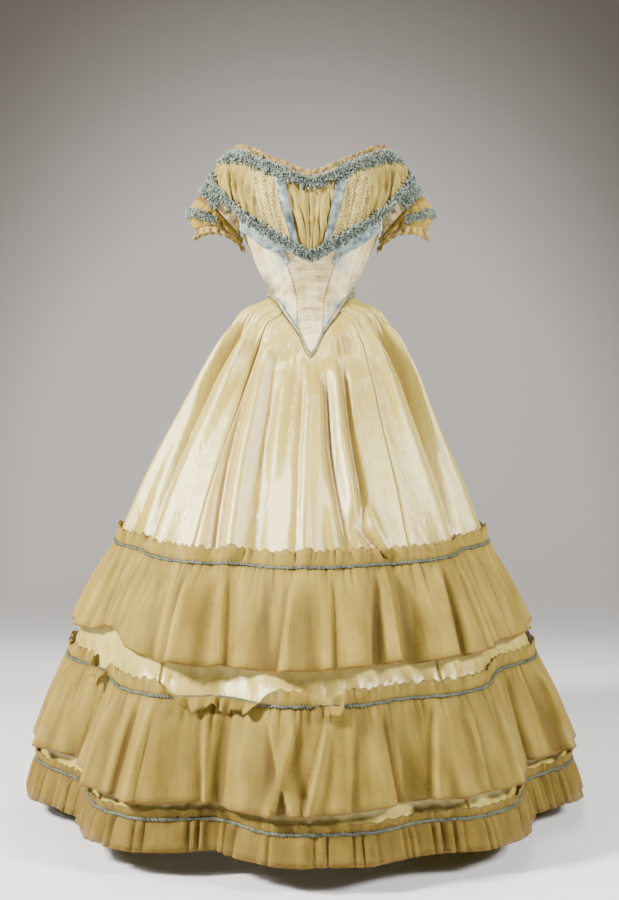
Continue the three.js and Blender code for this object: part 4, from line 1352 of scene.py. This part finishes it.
def build_ruche(node, line, half, thick, count, seed, closed=True, mirror=False):
    """Snips of silk on a narrow gathered core."""
    cut, cut_faces, cut_tone = snips(*line, count, half, thick, np.random.default_rng(seed))
    angle = np.linspace(0, TURN, CORE_SIDES, endpoint=False)
    high, wide = thick * 0.5 * np.cos(angle), half * 0.5 * np.sin(angle)
    inner, faces, _ = tube(*line, high, wide, closed)
    points = np.concatenate([inner, cut])
    # The core is painted in full shade; the snips keep their own tone
    tone = np.concatenate([np.zeros(len(inner)), cut_tone])
    faces = np.concatenate([faces, cut_faces + len(inner)])
    if not closed:
        first = np.array([[7, 6, 1, 0], [6, 5, 2, 1], [5, 4, 3, 2]])
        last = len(inner) - CORE_SIDES + first[:, ::-1]
        faces = np.concatenate([faces, first, last])
    if mirror:
        points = points * (-1, 1, 1)
        faces = faces[:, ::-1]
    uv = np.tile(np.array([[0, 0], [0.005, 0], [0.005, 0.005], [0, 0.005]]), (len(faces), 1))
    name = f"{node}_silk"
    finish_piece(name, mesh_from(name, points, faces, uv, tone), "ruche", node)


def bertha_line(deg, down):
    """A line round the bertha for a ruche, with its outward and upward directions."""
    up = unit(bertha_point(deg, down - 0.02) - bertha_point(deg, down + 0.02))
    right = bertha_point(deg + 1, down) - bertha_point(deg - 1, down)
    right[0] = (-1, 0, 0)
    out = unit(np.cross(right, up))
    return bertha_point(deg, down) + out * (RUCHE_THICK + 0.5), out, up


def build_ruches():
    deg = around(360)
    neck = bertha_line(deg, 17 / bertha_length(deg))
    build_ruche("neck_ruche", neck, 14, RUCHE_THICK, 2800, 3)
    build_ruche("bertha_ruche", bertha_line(deg, 0.96 + 0 * deg), 12.5, RUCHE_THICK, 2800, 4)
    sleeve_rows = (("upper", 0.46, 84, 0.4, 12, 800, 5), ("lower", 0.80, 96, 4.0, 9, 620, 6))
    for level, s, reach, lift, half, count, seed in sleeve_rows:
        turn = steps(-reach, reach, 60)
        at = np.full_like(turn, s)
        out = normal_of(sleeve_point, turn, at, 1, 0.01)
        up = unit(sleeve_point(turn, at + 0.02) - sleeve_point(turn, at - 0.02))
        line = (sleeve_point(turn, at) + out * (SLEEVE_RUCHE_THICK + lift), out, up)
        for side, mirror in SIDES.items():
            node = f"sleeve_ruche_{level}_{side}"
            build_ruche(node, line, half, SLEEVE_RUCHE_THICK, count, seed + 10 * mirror, False, mirror)


# Sleeves and neck lace
def sleeve_points(start, stop, rows, folds, depth, seed, flare=0.0, scallop=0.0):
    turn, share = grid(around(180), steps(0, 1, rows))
    rad = np.radians(turn)
    s = lerp(start, stop + scallop * np.abs(np.sin(rad * 11)), share)
    wave = np.abs(np.cos(rad * folds / 2 + 0.9 * np.sin(3 * rad + seed))) ** 0.7
    small = crumples(turn * 0.9, s * 60, 8, seed)
    lift = (depth * wave + 0.6 * depth * small) * (np.sin(np.pi * share * 0.9) + flare * share)
    # The tone is painted shade down in the folds
    return lifted(sleeve_point, turn, s, lift, 1, 0.01), hollow_tone(lift, 5, 0.7 * depth, ring=True)


def build_sleeves():
    cap = sleeve_points(0.0, 0.55, 20, 9, 5.0, 0.3)
    puff = sleeve_points(0.556, 1.0, 16, 11, 8.0, 1.9)
    cuff = sleeve_points(1.01, 1.22, 10, 16, 3.6, 2.4, flare=0.6, scallop=0.06)
    parts = (
        ("sleeve_cap", "cloth", *cap, 0.8, "cream_satin", (0.33, 0.095)),
        ("sleeve_puff", "cloth", *puff, GAUZE, "gauze", (0.34, 0.055)),
        ("cuff_lace", "edging", *cuff, GAUZE, "gold_lace", (0.32, 0.024)),
    )
    for part in parts:
        finish_pair(*part, "gathered", ring=True, rests_on=("bodice_side_front_left",))


def build_neck_lace():
    deg, rise = grid(around(600), steps(0, 1, 6))
    scallop = 3.0 * np.abs(np.sin(np.radians(deg) * 38)) ** 0.6
    waves = ripple(deg, 70, 2.0, 0.5)
    z = neckline(deg) - 16 + (15 + scallop) * rise
    points = off_body(deg, z, 1.0 + 0.8 * rise * (1 + waves))
    # Painted shade: darker in the troughs of its waves and towards its lower edge
    mesh = shell("neck_lace", points, GAUZE, ring=True, tone=0.25 + 0.25 * waves + 0.2 * rise)
    finish_sheet("neck_lace_edging", mesh, "gold_lace", "neck_lace", (0.95, 0.016), "gathered")


place_camera()
build_backdrop()
build_lights()
build_skirt()
build_flounces()
build_braids()
build_bodice()
build_bodice_trim()
build_bertha()
build_bertha_satin()
build_ruches()
build_sleeves()
build_neck_lace()
